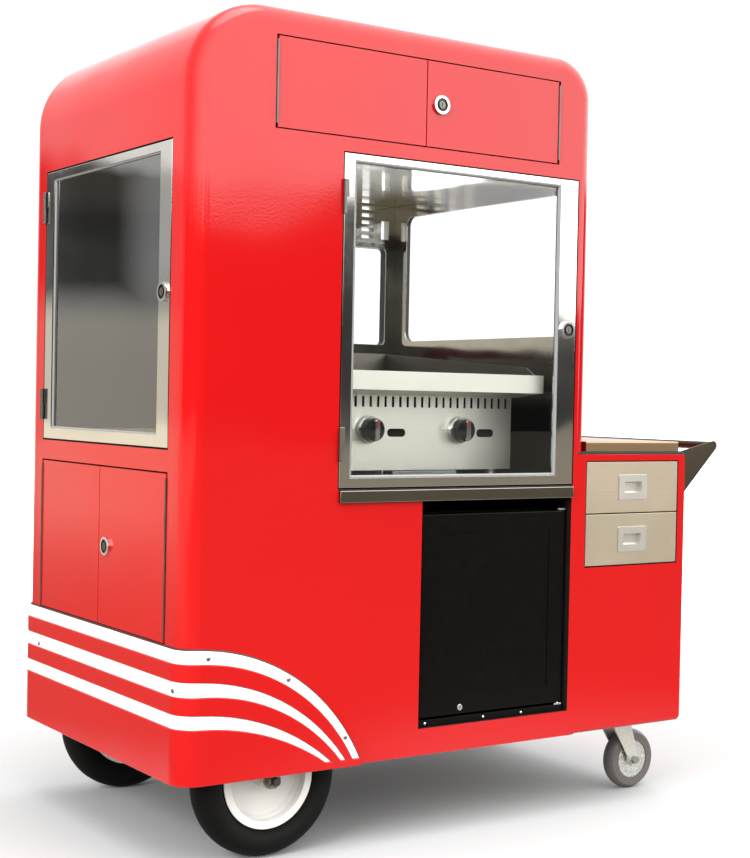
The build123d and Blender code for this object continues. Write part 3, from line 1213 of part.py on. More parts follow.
with BuildPart() as drawer_runners:
    for face_z in drawer_spans.values():
        mid = middle((face_z[0] + SKIN, face_z[1] - 5 * SKIN))
        for wall_x, groove_x in (
            ((DRAWER_BAY_X[0], DRAWER_BAY_X[0] + RUNNER_WIDTH), DRAWER_BAY_X[0] + RUNNER_WIDTH),
            ((DRAWER_BAY_X[1] - RUNNER_WIDTH, DRAWER_BAY_X[1]), DRAWER_BAY_X[1] - RUNNER_WIDTH),
        ):
            block(wall_x, RUNNER_Y, (mid - RUNNER_HEIGHT / 2, mid + RUNNER_HEIGHT / 2))
            block(grown((groove_x, groove_x), RUNNER_WIDTH / 2 + SEAT), grown(RUNNER_Y, SKIN),
                  (mid - TONGUE - SEAT, mid + TONGUE + SEAT), Mode.SUBTRACT)
keep(drawer_runners, "drawer_runners")

# Griddle on the cooking deck: folded body with the grease nose, thick plate with splash guards, feet.
NOSE_TOP = GRIDDLE_TOP + NOSE_RISE
SPLASH_BACK = GRIDDLE_TOP + SPLASH_BACK_RISE
SPLASH_FRONT = GRIDDLE_TOP + SPLASH_FRONT_RISE
KNOBS_X = (GRIDDLE_X[0] + KNOB_LEFT_INSET, GRIDDLE_X[1] - KNOB_RIGHT_INSET)
KNOB_Z = GRIDDLE_BASE + KNOB_RISE
SLOT_COUNT = int((GRIDDLE_WIDTH - 2 * SLOT_MARGIN) // SLOT_PITCH)
TRAY_SPAN = (GRIDDLE_X[0] + TRAY_X, GRIDDLE_X[0] + TRAY_X + TRAY_WIDTH)
SLOT_TOP = NOSE_TOP - NOSE_HEIGHT - NOSE_SLOPE - SLOT_DROP
NOSE_X = grown(GRIDDLE_X, NOSE_OVERHANG)
LEDGE_Z = GRIDDLE_BASE - TRAY_HEIGHT / 2
with BuildPart() as griddle_body:
    block(GRIDDLE_X, GRIDDLE_Y, (GRIDDLE_BASE, GRIDDLE_TOP))
    block(grown(GRIDDLE_X, -GRIDDLE_SHEET), grown(GRIDDLE_Y, -GRIDDLE_SHEET),
          (GRIDDLE_BASE + GRIDDLE_SHEET, GRIDDLE_TOP + GRIDDLE_SHEET), Mode.SUBTRACT)
    with BuildSketch(end_view(NOSE_X[0])):
        with BuildLine():
            Polyline(
                (into(NOSE_FRONT + NOSE_LIP), NOSE_TOP),
                (into(NOSE_FRONT), NOSE_TOP),
                (into(NOSE_FRONT), NOSE_TOP - NOSE_HEIGHT),
                (into(GRIDDLE_FACE - NOSE_RETURN), NOSE_TOP - NOSE_HEIGHT - NOSE_SLOPE),
                (into(GRIDDLE_FACE), NOSE_TOP - NOSE_HEIGHT - NOSE_SLOPE),
            )
            offset(amount=GRIDDLE_SHEET, side=Side.LEFT, kind=Kind.INTERSECTION)
        make_face()
    extrude(amount=NOSE_X[1] - NOSE_X[0])
    with BuildSketch(front_view(into(GRIDDLE_FACE - SKIN))):
        with Locations((middle(GRIDDLE_X), SLOT_TOP - SLOT_HEIGHT / 2)):
            with GridLocations(SLOT_PITCH, SLOT_HEIGHT, SLOT_COUNT, 1):
                Rectangle(SLOT_WIDTH, SLOT_HEIGHT)
        for knob_x in KNOBS_X:
            with Locations((knob_x + SIGHT_SHIFT, KNOB_Z - SIGHT_DROP)):
                SlotOverall(SIGHT_LENGTH, SIGHT_HEIGHT)
    extrude(amount=-2 * SKIN, mode=Mode.SUBTRACT)
    for knob_x in KNOBS_X:
        rod((knob_x, into(GRIDDLE_FACE + SHEET), KNOB_Z), (0, -1, 0), STEM_RADIUS, STEM_LENGTH + SHEET)
    for ledge_x, web_x in (
        ((TRAY_SPAN[0] - LEDGE_WIDTH, TRAY_SPAN[0] - SEAT), TRAY_SPAN[0] - LEDGE_WIDTH),
        ((TRAY_SPAN[1] + SEAT, TRAY_SPAN[1] + LEDGE_WIDTH), TRAY_SPAN[1] + LEDGE_WIDTH),
    ):
        ledge_y = (into(GRIDDLE_FACE), into(GRIDDLE_FACE + TRAY_DEPTH))
        block(grown((web_x, web_x), GRIDDLE_SHEET / 2), ledge_y, (LEDGE_Z - GRIDDLE_SHEET, GRIDDLE_BASE))
        block(ledge_x, ledge_y, (LEDGE_Z - GRIDDLE_SHEET, LEDGE_Z))
keep(griddle_body, "griddle_body")

SPLASH_Y = (into(NOSE_FRONT + NOSE_LIP + SPLASH), GRIDDLE_Y[1])
with BuildPart() as griddle_plate:
    block(GRIDDLE_X, (into(PLATE_FRONT), GRIDDLE_Y[1]), (GRIDDLE_TOP, GRIDDLE_TOP + PLATE_THICKNESS))
    block(GRIDDLE_X, (GRIDDLE_Y[1] - SPLASH, GRIDDLE_Y[1]), (GRIDDLE_TOP, SPLASH_BACK))
    for splash_x in (GRIDDLE_X[0], GRIDDLE_X[1] - SPLASH):
        with BuildSketch(end_view(splash_x)):
            with BuildLine():
                Polyline(
                    (SPLASH_Y[0], GRIDDLE_TOP),
                    (SPLASH_Y[0], NOSE_TOP),
                    (SPLASH_Y[0] + 2 * FOOT_RADIUS, SPLASH_FRONT),
                    (SPLASH_Y[1], SPLASH_BACK),
                    (SPLASH_Y[1], GRIDDLE_TOP),
                    close=True,
                )
            make_face()
        extrude(amount=SPLASH)
keep(griddle_plate, "griddle_plate")

with BuildPart() as griddle_feet:
    foot_inset = 2 * FOOT_RADIUS
    for foot_x in (GRIDDLE_X[0] + foot_inset, GRIDDLE_X[1] - foot_inset):
        for foot_y in (GRIDDLE_Y[0] + foot_inset, GRIDDLE_Y[1] - foot_inset):
            with BuildSketch(Plane(origin=(foot_x, foot_y, DECK_TOP), x_dir=(1, 0, 0), z_dir=(0, -1, 0))):
                with BuildLine():
                    Polyline(
                        (0, 0),
                        (FOOT_RADIUS, 0),
                        (FOOT_RADIUS, SKIN),
                        (FOOT_RADIUS * 0.7, 3 * SKIN),
                        (FOOT_RADIUS * 0.8, GRIDDLE_BASE - DECK_TOP),
                        (0, GRIDDLE_BASE - DECK_TOP),
                        close=True,
                    )
                make_face()
            revolve(axis=Axis((foot_x, foot_y, DECK_TOP), (0, 0, 1)))
keep(griddle_feet, "griddle_feet")

with BuildPart() as grease_tray:
    tray_y = (into(GRIDDLE_FACE - TRAY_PROUD), into(GRIDDLE_FACE + TRAY_DEPTH - TRAY_PROUD))
    tray_z = (GRIDDLE_BASE - TRAY_HEIGHT, LEDGE_Z + SEAT + GRIDDLE_SHEET)
    flange_x = grown(TRAY_SPAN, LEDGE_WIDTH - 2 * GRIDDLE_SHEET)
    block(grown(TRAY_SPAN, -SEAT), tray_y, tray_z)
    block(flange_x, (into(GRIDDLE_FACE + SEAT), tray_y[1]), (LEDGE_Z + SEAT, tray_z[1]))
    block(grown(TRAY_SPAN, -SHEET), grown(tray_y, -GRIDDLE_SHEET), (tray_z[0] + GRIDDLE_SHEET, GRIDDLE_BASE),
          Mode.SUBTRACT)
    block(grown(TRAY_SPAN, -SEAT), (tray_y[0], tray_y[0] + GRIDDLE_SHEET), (tray_z[0], GRIDDLE_BASE - 1))
keep(grease_tray, "grease_tray")

for knob_x, name in zip(KNOBS_X, ("knob_left", "knob_right")):
    knob_plane = Plane(origin=(knob_x, into(GRIDDLE_FACE - 1), KNOB_Z), z_dir=(0, -1, 0), x_dir=(1, 0, 0))
    with BuildPart() as knob:
        with BuildSketch(knob_plane):
            Circle(KNOB_RADIUS)
        extrude(amount=KNOB_LENGTH * 0.25, taper=10)
        with BuildSketch(knob_plane):
            Circle(KNOB_RADIUS * 0.84)
        extrude(amount=KNOB_LENGTH * 0.75, taper=3)
        with BuildSketch(knob_plane):
            SlotOverall(KNOB_RADIUS * 1.6, KNOB_RADIUS * 0.55, rotation=90)
        extrude(amount=KNOB_LENGTH, taper=4)
        with BuildSketch(knob_plane):
            Circle(STEM_RADIUS + RUNNING)
        extrude(amount=STEM_LENGTH, mode=Mode.SUBTRACT)
    keep(knob, name)

# Fridge under the deck: insulated box with a plinth, recessed door on two pin brackets, and its lock.
FRIDGE_TOP = FRIDGE_BAY_Z[1] - FRIDGE_HEADROOM
FRIDGE_DOOR_FLOOR = FRIDGE_BAY_Z[0] + FRIDGE_DOOR_LIFT
FRIDGE_FRONT = FRIDGE_DOOR_FRONT + FRIDGE_DOOR_DEPTH + DOOR_GAP
FRIDGE_Y = (into(FRIDGE_FRONT), into(FRIDGE_FRONT + FRIDGE_DEPTH))
PLINTH_TOP = FRIDGE_DOOR_FLOOR - SKIN - 1
with BuildPart() as fridge_cabinet:
    block(FRIDGE_X, FRIDGE_Y, (PAN_TOP, FRIDGE_TOP))
    block(grown(FRIDGE_X, -FRIDGE_WALL), (FRIDGE_Y[0] - SKIN, FRIDGE_Y[1] - FRIDGE_WALL),
          (FRIDGE_DOOR_FLOOR + FRIDGE_WALL / 2, FRIDGE_TOP - FRIDGE_WALL), Mode.SUBTRACT)
    block(FRIDGE_X, (into(JAMB_DEPTH + SEAT), FRIDGE_Y[0]), (PAN_TOP, PLINTH_TOP))
    block(grown(FRIDGE_BAY_X, -DOOR_GAP), (into(FRIDGE_DOOR_FRONT), into(JAMB_DEPTH + SEAT)),
          (FRIDGE_BAY_Z[0] + SEAT, PLINTH_TOP))
keep(fridge_cabinet, "fridge_cabinet")

FRIDGE_DOOR_X = grown(FRIDGE_X, -1)
FRIDGE_DOOR_Y = (into(FRIDGE_DOOR_FRONT), into(FRIDGE_DOOR_FRONT + FRIDGE_DOOR_DEPTH))
FRIDGE_DOOR_Z = (FRIDGE_DOOR_FLOOR, FRIDGE_TOP - 1)
FRIDGE_PIN = (FRIDGE_DOOR_X[1] - FRIDGE_PIN_INSET, FRIDGE_DOOR_Y[0] + FRIDGE_PIN_INSET)
FRIDGE_LOCK = Plane(origin=(FRIDGE_DOOR_X[0] + FRIDGE_LOCK_INSET, FRIDGE_DOOR_Y[0],
                            FRIDGE_DOOR_FLOOR + FRIDGE_LOCK_RISE), z_dir=(0, -1, 0), x_dir=(1, 0, 0))
with BuildPart() as fridge_door:
    block(FRIDGE_DOOR_X, FRIDGE_DOOR_Y, FRIDGE_DOOR_Z)
    fillet(fridge_door.faces().sort_by(Axis.Y)[0].edges(), radius=SKIN)
    block((FRIDGE_DOOR_X[0] + FRIDGE_BORDER, FRIDGE_DOOR_X[1] - FRIDGE_BORDER),
          (FRIDGE_DOOR_Y[0] - SKIN, FRIDGE_DOOR_Y[0] + SHEET), grown(FRIDGE_DOOR_Z, -FRIDGE_BORDER + SKIN),
          Mode.SUBTRACT)
    for pin_z, way in ((FRIDGE_DOOR_Z[1], -1), (FRIDGE_DOOR_Z[0], 1)):
        rod((*FRIDGE_PIN, pin_z), (0, 0, way), FRIDGE_PIN_RADIUS + RUNNING, FRIDGE_PIN_BITE + SEAT,
            Mode.SUBTRACT)
    with BuildSketch(FRIDGE_LOCK):
        Circle(FRIDGE_LOCK_RADIUS + RUNNING)
    extrude(amount=-FRIDGE_DOOR_DEPTH / 2, mode=Mode.SUBTRACT)
keep(fridge_door, "fridge_door")

with BuildPart() as fridge_hinges:
    bracket_x = (FRIDGE_PIN[0] - 2 * FRIDGE_PIN_INSET, FRIDGE_DOOR_X[1])
    for bracket_z, pin_z, way, back in (
        ((FRIDGE_TOP, FRIDGE_TOP + SKIN), FRIDGE_TOP, -1, FRIDGE_Y[0] + 2 * JAMB_DEPTH),
        ((PLINTH_TOP, PLINTH_TOP + SKIN), PLINTH_TOP + SKIN, 1, FRIDGE_Y[0]),
    ):
        block(bracket_x, (FRIDGE_DOOR_Y[0], back), bracket_z)
        rod((*FRIDGE_PIN, pin_z), (0, 0, way), FRIDGE_PIN_RADIUS, FRIDGE_PIN_BITE)
keep(fridge_hinges, "fridge_hinges")

with BuildPart() as fridge_lock:
    with BuildSketch(FRIDGE_LOCK):
        Circle(FRIDGE_LOCK_RADIUS)
    extrude(amount=-FRIDGE_DOOR_DEPTH / 2 + SHEET)
    with BuildSketch(FRIDGE_LOCK):
        Circle(FRIDGE_LOCK_RADIUS)
    extrude(amount=SHEET, taper=20)
    with BuildSketch(FRIDGE_LOCK.offset(SHEET)):
        SlotOverall(FRIDGE_LOCK_RADIUS, SHEET, rotation=90)
    extrude(amount=-2 * SKIN, mode=Mode.SUBTRACT)
keep(fridge_lock, "fridge_lock")
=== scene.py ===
"""Red food vending cart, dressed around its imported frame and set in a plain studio."""

import json
import logging
import math
from dataclasses import dataclass, field, replace
from enum import Enum
from typing import Callable, Sequence

import bmesh
import bpy
from mathutils import Matrix, Vector


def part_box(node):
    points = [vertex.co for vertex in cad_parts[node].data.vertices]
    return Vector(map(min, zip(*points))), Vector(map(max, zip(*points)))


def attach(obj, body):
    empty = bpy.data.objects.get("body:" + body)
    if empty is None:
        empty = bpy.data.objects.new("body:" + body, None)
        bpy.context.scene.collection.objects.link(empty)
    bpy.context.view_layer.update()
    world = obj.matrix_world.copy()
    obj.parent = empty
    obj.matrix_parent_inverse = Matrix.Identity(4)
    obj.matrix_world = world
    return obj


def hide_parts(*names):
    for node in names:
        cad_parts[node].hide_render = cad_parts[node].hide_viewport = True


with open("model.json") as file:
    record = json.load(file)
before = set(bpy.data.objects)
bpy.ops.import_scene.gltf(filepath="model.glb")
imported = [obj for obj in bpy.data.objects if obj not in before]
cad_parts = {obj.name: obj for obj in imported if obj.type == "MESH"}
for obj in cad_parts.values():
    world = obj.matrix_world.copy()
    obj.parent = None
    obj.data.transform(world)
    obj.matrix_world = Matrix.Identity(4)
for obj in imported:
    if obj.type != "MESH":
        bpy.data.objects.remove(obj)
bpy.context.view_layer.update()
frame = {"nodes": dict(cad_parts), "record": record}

LOG = logging.getLogger("cart")
MM = 0.001
UP = Vector((0.0, 0.0, 1.0))

# Corners closer than WELD are one corner; nodes joined without a seam are welded across SEAM.
WELD = 0.01 * MM
SEAM = 0.4 * MM

# Faces that turn by less than FLAT are one face, and edges that turn by more than SHARP are eased.
FLAT = math.radians(0.4)
SHARP = math.radians(32.0)

# How far flat faces rule the shading of the eased edges beside them, from 1 to 100.
FLAT_WEIGHT = 100

# Facets round a sealing bead, and round each corner of its path.
BEAD_FACETS = 12
CORNER_FACETS = 5

Colour = tuple[float, float, float]
Point = tuple[float, float, float]
Span = tuple[float, float]
Box = tuple[Vector, Vector]
Tree = bpy.types.NodeTree
Socket = bpy.types.NodeSocket
Thing = bpy.types.Object


class Pattern(Enum):
    """Surface patterns that the finishes share, each a shader node group."""

    RIPPLE = "gelcoat_ripple"
    BRUSHED = "brushed_grain"
    SPANGLE = "zinc_spangle"
    MOULDED = "moulded_grain"


class Edge(Enum):
    """How a piece's edges are eased: width in millimetres, and facets across it."""

    NONE = (0.0, 1)
    LEAF = (0.2, 1)
    MARK = (0.3, 2)
    BOX = (0.4, 1)
    SHEET = (0.4, 2)
    TURNED = (0.5, 2)
    FOLDED = (0.6, 2)
    PRESSED = (0.8, 2)
    DOOR = (0.8, 3)
    ROUNDED = (1.0, 3)
    MOULDED = (1.2, 3)
    RIB = (3.0, 4)

    @property
    def width(self) -> float:
        """Width in metres."""
        return self.value[0] * MM


def new_group(name: str, inputs: Sequence[tuple[str, str]], outputs: Sequence[str]) -> Tree:
    """Make an empty shader node group with named sockets.

    Args:
        name: Name of the group.
        inputs: Name and socket type of each input.
        outputs: Name of each output, which are plain values.

    Returns:
        The group, holding its input and output nodes.
    """
    group = bpy.data.node_groups.new(name, "ShaderNodeTree")
    for label, kind in inputs:
        group.interface.new_socket(label, in_out="INPUT", socket_type=kind)
    for label in outputs:
        group.interface.new_socket(label, in_out="OUTPUT", socket_type="NodeSocketFloat")
    group.nodes.new("NodeGroupInput")
    group.nodes.new("NodeGroupOutput")
    return group


def noise(tree: Tree, vector: Socket, scale: float, detail: float) -> Socket:
    """Add a noise texture to a node tree.

    Args:
        tree: Tree that gets the node.
        vector: Coordinates that the noise reads.
        scale: Features per metre of the coordinates.
        detail: Octaves of finer noise.

    Returns:
        The noise value's socket.
    """
    node = tree.nodes.new("ShaderNodeTexNoise")
    node.inputs["Scale"].default_value = scale
    node.inputs["Detail"].default_value = detail
    tree.links.new(vector, node.inputs["Vector"])
    return node.outputs["Fac"]


def calc(tree: Tree, operation: str, *operands: object) -> Socket:
    """Add a maths node; each operand is a socket or a number.

    Args:
        tree: Tree that gets the node.
        operation: Blender's name of the operation.
        operands: The operands in order.

    Returns:
        The result's socket.
    """
    node = tree.nodes.new("ShaderNodeMath")
    node.operation = operation
    for socket, value in zip(node.inputs, operands):
        if isinstance(value, Socket):
            tree.links.new(value, socket)
        else:
            socket.default_value = value
    return node.outputs[0]


def along(tree: Tree, vector: Socket, direction: Vector) -> Socket:
    """Measure a vector along a direction.

    Args:
        tree: Tree that gets the node.
        vector: Vector's socket.
        direction: Unit direction.

    Returns:
        The length's socket.
    """
    node = tree.nodes.new("ShaderNodeVectorMath")
    node.operation = "DOT_PRODUCT"
    node.inputs[1].default_value = direction
    tree.links.new(vector, node.inputs[0])
    return node.outputs["Value"]


def ramp(tree: Tree, value: Socket, given: Span, wanted: Span, smooth: bool = True) -> Socket:
    """Map a value from one span to another.

    Args:
        tree: Tree that gets the node.
        value: Socket to map.
        given: Span of the value.
        wanted: Span of the result.
        smooth: Whether the ends of the span are eased.

    Returns:
        The result's socket.
    """
    node = tree.nodes.new("ShaderNodeMapRange")
    node.interpolation_type = "SMOOTHSTEP" if smooth else "LINEAR"
    tree.links.new(value, node.inputs["Value"])
    node.inputs["From Min"].default_value, node.inputs["From Max"].default_value = given
    node.inputs["To Min"].default_value, node.inputs["To Max"].default_value = wanted
    return node.outputs["Result"]


def blend(tree: Tree, factor: Socket, first: Socket | Colour, second: Socket | Colour) -> Socket:
    """Mix two colours, each a socket or a plain colour.

    Args:
        tree: Tree that gets the node.
        factor: Share of the second colour.
        first: First colour.
        second: Second colour.

    Returns:
        The mixed colour's socket.
    """
    node = tree.nodes.new("ShaderNodeMix")
    node.data_type = "RGBA"
    tree.links.new(factor, node.inputs["Factor"])
    for label, colour in (("A", first), ("B", second)):
        if isinstance(colour, Socket):
            tree.links.new(colour, node.inputs[label])
        else:
            node.inputs[label].default_value = (*colour, 1.0)
    return node.outputs["Result"]


def pattern_group(pattern: Pattern) -> Tree:
    """Build a pattern's node group once.

    Args:
        pattern: The pattern wanted.

    Returns:
        A group with Vector and Scale inputs and Mask and Height outputs.
    """
    known = bpy.data.node_groups.get(pattern.value)
    if known:
        return known
    inputs = [("Vector", "NodeSocketVector"), ("Scale", "NodeSocketVector")]
    group = new_group(pattern.value, inputs, ["Mask", "Height"])
    source = group.nodes["Group Input"]
    sink = group.nodes["Group Output"]
    stretch = group.nodes.new("ShaderNodeVectorMath")
    stretch.operation = "MULTIPLY"
    group.links.new(source.outputs["Vector"], stretch.inputs[0])
    group.links.new(source.outputs["Scale"], stretch.inputs[1])
    place = stretch.outputs[0]
    if pattern is Pattern.SPANGLE:
        cells = group.nodes.new("ShaderNodeTexVoronoi")
        group.links.new(place, cells.inputs["Vector"])
        split = group.nodes.new("ShaderNodeSeparateColor")
        group.links.new(cells.outputs["Color"], split.inputs[0])
        mask = split.outputs[0]
        height = calc(group, "ADD", mask, noise(group, place, scale=6.0, detail=2.0))
    elif pattern is Pattern.BRUSHED:
        height = noise(group, place, scale=1.0, detail=6.0)
        cloudy = calc(group, "ADD", noise(group, source.outputs["Vector"], scale=5.0, detail=2.0), 0.5)
        mask = calc(group, "MULTIPLY", height, cloudy)
    elif pattern is Pattern.RIPPLE:
        mask = noise(group, place, scale=1.0, detail=2.0)
        peel = calc(group, "MULTIPLY", noise(group, place, scale=70.0, detail=1.0), 0.012)
        height = calc(group, "ADD", noise(group, place, scale=1.6, detail=0.0), peel)
    else:
        mask = noise(group, place, scale=0.05, detail=3.0)
        height = noise(group, place, scale=1.0, detail=3.0)
    group.links.new(mask, sink.inputs["Mask"])
    group.links.new(height, sink.inputs["Height"])
    return group


def marks_group() -> Tree:
    """Build the handling-marks group once: soft smudges and dust.

    Returns:
        A group with Vector and Amount inputs and a Mask output from 0 to 1.
    """
    known = bpy.data.node_groups.get("handling_marks")
    if known:
        return known
    inputs = [("Vector", "NodeSocketVector"), ("Amount", "NodeSocketFloat")]
    group = new_group("handling_marks", inputs, ["Mask"])
    source = group.nodes["Group Input"]
    broad = noise(group, source.outputs["Vector"], scale=7.0, detail=5.0)
    fine = noise(group, source.outputs["Vector"], scale=60.0, detail=3.0)
    clean_share = 0.45
    patchy = calc(group, "MULTIPLY", broad, calc(group, "ADD", fine, 0.5))
    spots = calc(group, "MAXIMUM", calc(group, "SUBTRACT", patchy, clean_share), 0.0)
    shown = calc(group, "MULTIPLY", spots, source.outputs["Amount"])
    group.links.new(calc(group, "MINIMUM", shown, 1.0), group.nodes["Group Output"].inputs["Mask"])
    return group


@dataclass(frozen=True)
class Finish:
    """A surface finish: two colours and a roughness range that a pattern mixes, with smudges over it."""

    name: str
    slot: str
    colour: Colour
    shade: Colour
    roughness: Span
    pattern: Pattern
    scale: Point
    metallic: float = 0.0
    bump: float = 0.0
    marks: float = 0.4
    mark_roughness: float = 0.25
    coat: float = 0.0
    coat_roughness: float = 0.03
    ior: float = 1.5
    transmission: float = 0.0
    darkening_heights: Span | None = None
    low_colour: Colour = (0.026, 0.024, 0.021)

    def material(self) -> bpy.types.Material:
        """Make the finish's material on first use; below given heights its colour darkens to the low colour.

        Returns:
            The material, shared by every piece with this finish.
        """
        label = f"finish_{self.name}"
        known = bpy.data.materials.get(label)
        if known:
            return known
        material = bpy.data.materials.new(label)
        material.use_nodes = True
        tree = material.node_tree
        shader = tree.nodes["Principled BSDF"]
        shader.inputs["Metallic"].default_value = self.metallic
        shader.inputs["IOR"].default_value = self.ior
        shader.inputs["Coat Weight"].default_value = self.coat
        shader.inputs["Coat Roughness"].default_value = self.coat_roughness
        shader.inputs["Transmission Weight"].default_value = self.transmission
        place = tree.nodes.new("ShaderNodeTexCoord").outputs["Object"]
        pattern = self.placed(tree, pattern_group(self.pattern), place)
        pattern.inputs["Scale"].default_value = self.scale
        marks = self.placed(tree, marks_group(), place)
        marks.inputs["Amount"].default_value = self.marks
        colour = blend(tree, pattern.outputs["Mask"], self.colour, self.shade)
        # Below the given heights the colour darkens towards the low colour, darker towards the bottom.
        if self.darkening_heights:
            low_share = ramp(tree, along(tree, place, UP), self.darkening_heights, (1.0, 0.0))
            colour = blend(tree, low_share, colour, self.low_colour)
        tree.links.new(colour, shader.inputs["Base Color"])
        rough = ramp(tree, pattern.outputs["Mask"], (0.0, 1.0), self.roughness, smooth=False)
        smudged = calc(tree, "MULTIPLY_ADD", marks.outputs["Mask"], self.mark_roughness, rough)
        tree.links.new(smudged, shader.inputs["Roughness"])
        if self.bump:
            bump = tree.nodes.new("ShaderNodeBump")
            bump.inputs["Distance"].default_value = self.bump
            tree.links.new(pattern.outputs["Height"], bump.inputs["Height"])
            tree.links.new(bump.outputs["Normal"], shader.inputs["Normal"])
        return material

    @staticmethod
    def placed(tree: Tree, group: Tree, place: Socket) -> bpy.types.Node:
        """Put a group into a material.

        Args:
            tree: The material's tree.
            group: The group to place.
            place: Coordinates for its Vector input.

        Returns:
            The group's node.
        """
        node = tree.nodes.new("ShaderNodeGroup")
        node.node_tree = group
        tree.links.new(place, node.inputs["Vector"])
        return node


def even(scale: float) -> Point:
    """The same scale along every axis."""
    return scale, scale, scale


# Scales of a brushed grain that runs along x, y or z, and the depth of its hairlines.
GRAIN_X = (6.0, 900.0, 900.0)
GRAIN_Y = (900.0, 6.0, 900.0)
GRAIN_Z = (900.0, 900.0, 6.0)
HAIRLINE = 0.04 * MM

RED = Finish("red_gelcoat", "red_gelcoat", (0.41, 0.0048, 0.0052), (0.385, 0.0040, 0.0044), (0.05, 0.09),
             Pattern.RIPPLE, even(2.5), bump=0.003, marks=0.1, ior=1.45)
RED_ROOF = replace(RED, name="red_roof", roughness=(0.24, 0.34), marks=0.6, ior=1.06)
WHITE_STRIP = Finish("white_strip", "white_trim", (0.74, 0.74, 0.73), (0.68, 0.68, 0.66), (0.25, 0.35),
                     Pattern.RIPPLE, even(6.0), bump=0.001, marks=0.5)
WHITE_PAINT = Finish("white_enamel", "white_paint", (0.64, 0.625, 0.59), (0.52, 0.505, 0.47), (0.26, 0.38),
                     Pattern.MOULDED, even(180.0), bump=0.0002, marks=0.8, coat=0.15)
FRAME_PAINT = Finish("frame_paint", "dark_paint", (0.020, 0.020, 0.022), (0.036, 0.034, 0.032),
                     (0.40, 0.60), Pattern.MOULDED, even(220.0), bump=0.0003, marks=1.0)
STEEL_X = Finish("brushed_steel_x", "brushed_stainless", (0.56, 0.545, 0.51), (0.44, 0.425, 0.39),
                 (0.24, 0.40), Pattern.BRUSHED, GRAIN_X, metallic=1.0, bump=HAIRLINE)
STEEL_Y = Finish("brushed_steel_y", "brushed_stainless", (0.48, 0.445, 0.39), (0.38, 0.345, 0.295),
                 (0.24, 0.40), Pattern.BRUSHED, GRAIN_Y, metallic=1.0, bump=HAIRLINE)
# Brushed drawer steel: the grain is the steel's own, the beige tint is painted reflection of the ground and
# horizon.
DRAWER_STEEL = Finish("drawer_steel", "brushed_stainless", (0.53, 0.455, 0.345), (0.445, 0.38, 0.28),
                      (0.34, 0.50), Pattern.BRUSHED, GRAIN_X, metallic=1.0, bump=HAIRLINE, marks=0.8)
PULL_SATIN = Finish("pull_satin", "brushed_stainless", (0.66, 0.64, 0.59), (0.58, 0.55, 0.50), (0.26, 0.38),
                    Pattern.MOULDED, even(300.0), metallic=0.9, bump=0.00006)
MIRROR_STEEL = Finish("mirror_steel", "polished_stainless", (0.72, 0.695, 0.65), (0.66, 0.635, 0.58),
                      (0.03, 0.09), Pattern.RIPPLE, even(4.0), metallic=1.0, bump=0.0012)
SILL_STEEL = Finish("sill_steel", "polished_stainless", (0.26, 0.24, 0.21), (0.21, 0.195, 0.17),
                    (0.05, 0.12), Pattern.RIPPLE, even(6.0), metallic=1.0, bump=0.0012, marks=0.5)
# Polished lining steel, darker towards the bottom below 1.02 to 1.13 m.
LINING_STEEL = Finish("lining_steel", "polished_stainless", (0.66, 0.63, 0.57), (0.58, 0.55, 0.49),
                      (0.05, 0.12), Pattern.RIPPLE, even(5.0), metallic=1.0, bump=0.0014, marks=0.5,
                      darkening_heights=(1.02, 1.13))
DECK_STEEL = Finish("deck_steel", "brushed_stainless", (0.11, 0.103, 0.093), (0.07, 0.066, 0.06),
                    (0.30, 0.46), Pattern.BRUSHED, GRAIN_X, metallic=1.0, bump=HAIRLINE, marks=1.0)
WORKTOP_STEEL = Finish("worktop_steel", "brushed_stainless", (0.33, 0.225, 0.13), (0.25, 0.165, 0.092),
                       (0.24, 0.38), Pattern.BRUSHED, GRAIN_Y, metallic=1.0, bump=HAIRLINE)
HANDLE_STEEL = Finish("handle_steel", "brushed_stainless", (0.115, 0.093, 0.068), (0.078, 0.063, 0.045),
                      (0.22, 0.36), Pattern.BRUSHED, GRAIN_Z, metallic=1.0, bump=HAIRLINE)
# Dark chrome for the hinges and the lock plugs' faces; on the hinges it is painted shade, darker than bright
# hinge metal for the shadow they sit in.
HINGE_STEEL = Finish("hinge_steel", "bright_chrome", (0.20, 0.195, 0.18), (0.13, 0.126, 0.118), (0.30, 0.42),
                     Pattern.MOULDED, even(200.0), metallic=1.0, bump=0.0001, marks=0.8)
GRIDDLE_FRONT = Finish("griddle_front_steel", "brushed_stainless", (0.96, 0.93, 0.84), (0.86, 0.83, 0.75),
                       (0.36, 0.50), Pattern.BRUSHED, (6.0, 700.0, 700.0), metallic=0.9, bump=HAIRLINE,
                       marks=0.6)
GRIDDLE_STEEL = Finish("griddle_iron", "griddle_steel", (0.30, 0.28, 0.25), (0.16, 0.14, 0.12), (0.32, 0.55),
                       Pattern.BRUSHED, (9.0, 400.0, 400.0), metallic=1.0, bump=0.00008, marks=1.2)
CHROME = Finish("bright_chrome", "bright_chrome", (0.80, 0.80, 0.80), (0.72, 0.72, 0.72), (0.04, 0.09),
                Pattern.RIPPLE, even(20.0), metallic=1.0, marks=0.5)
ZINC = Finish("zinc_plate", "zinc_plate", (0.64, 0.62, 0.55), (0.46, 0.445, 0.40), (0.30, 0.46),
              Pattern.SPANGLE, even(130.0), metallic=0.85, bump=0.0001, marks=0.9)
HUB_ZINC = Finish("hub_zinc", "zinc_plate", (0.66, 0.66, 0.60), (0.34, 0.345, 0.32), (0.22, 0.42),
                  Pattern.SPANGLE, even(70.0), metallic=0.9, bump=0.0001, marks=0.9)
SCREW_STEEL = Finish("screw_steel", "zinc_plate", (0.36, 0.35, 0.33), (0.22, 0.21, 0.20), (0.26, 0.40),
                     Pattern.MOULDED, even(300.0), metallic=1.0, bump=0.0001, marks=0.8)
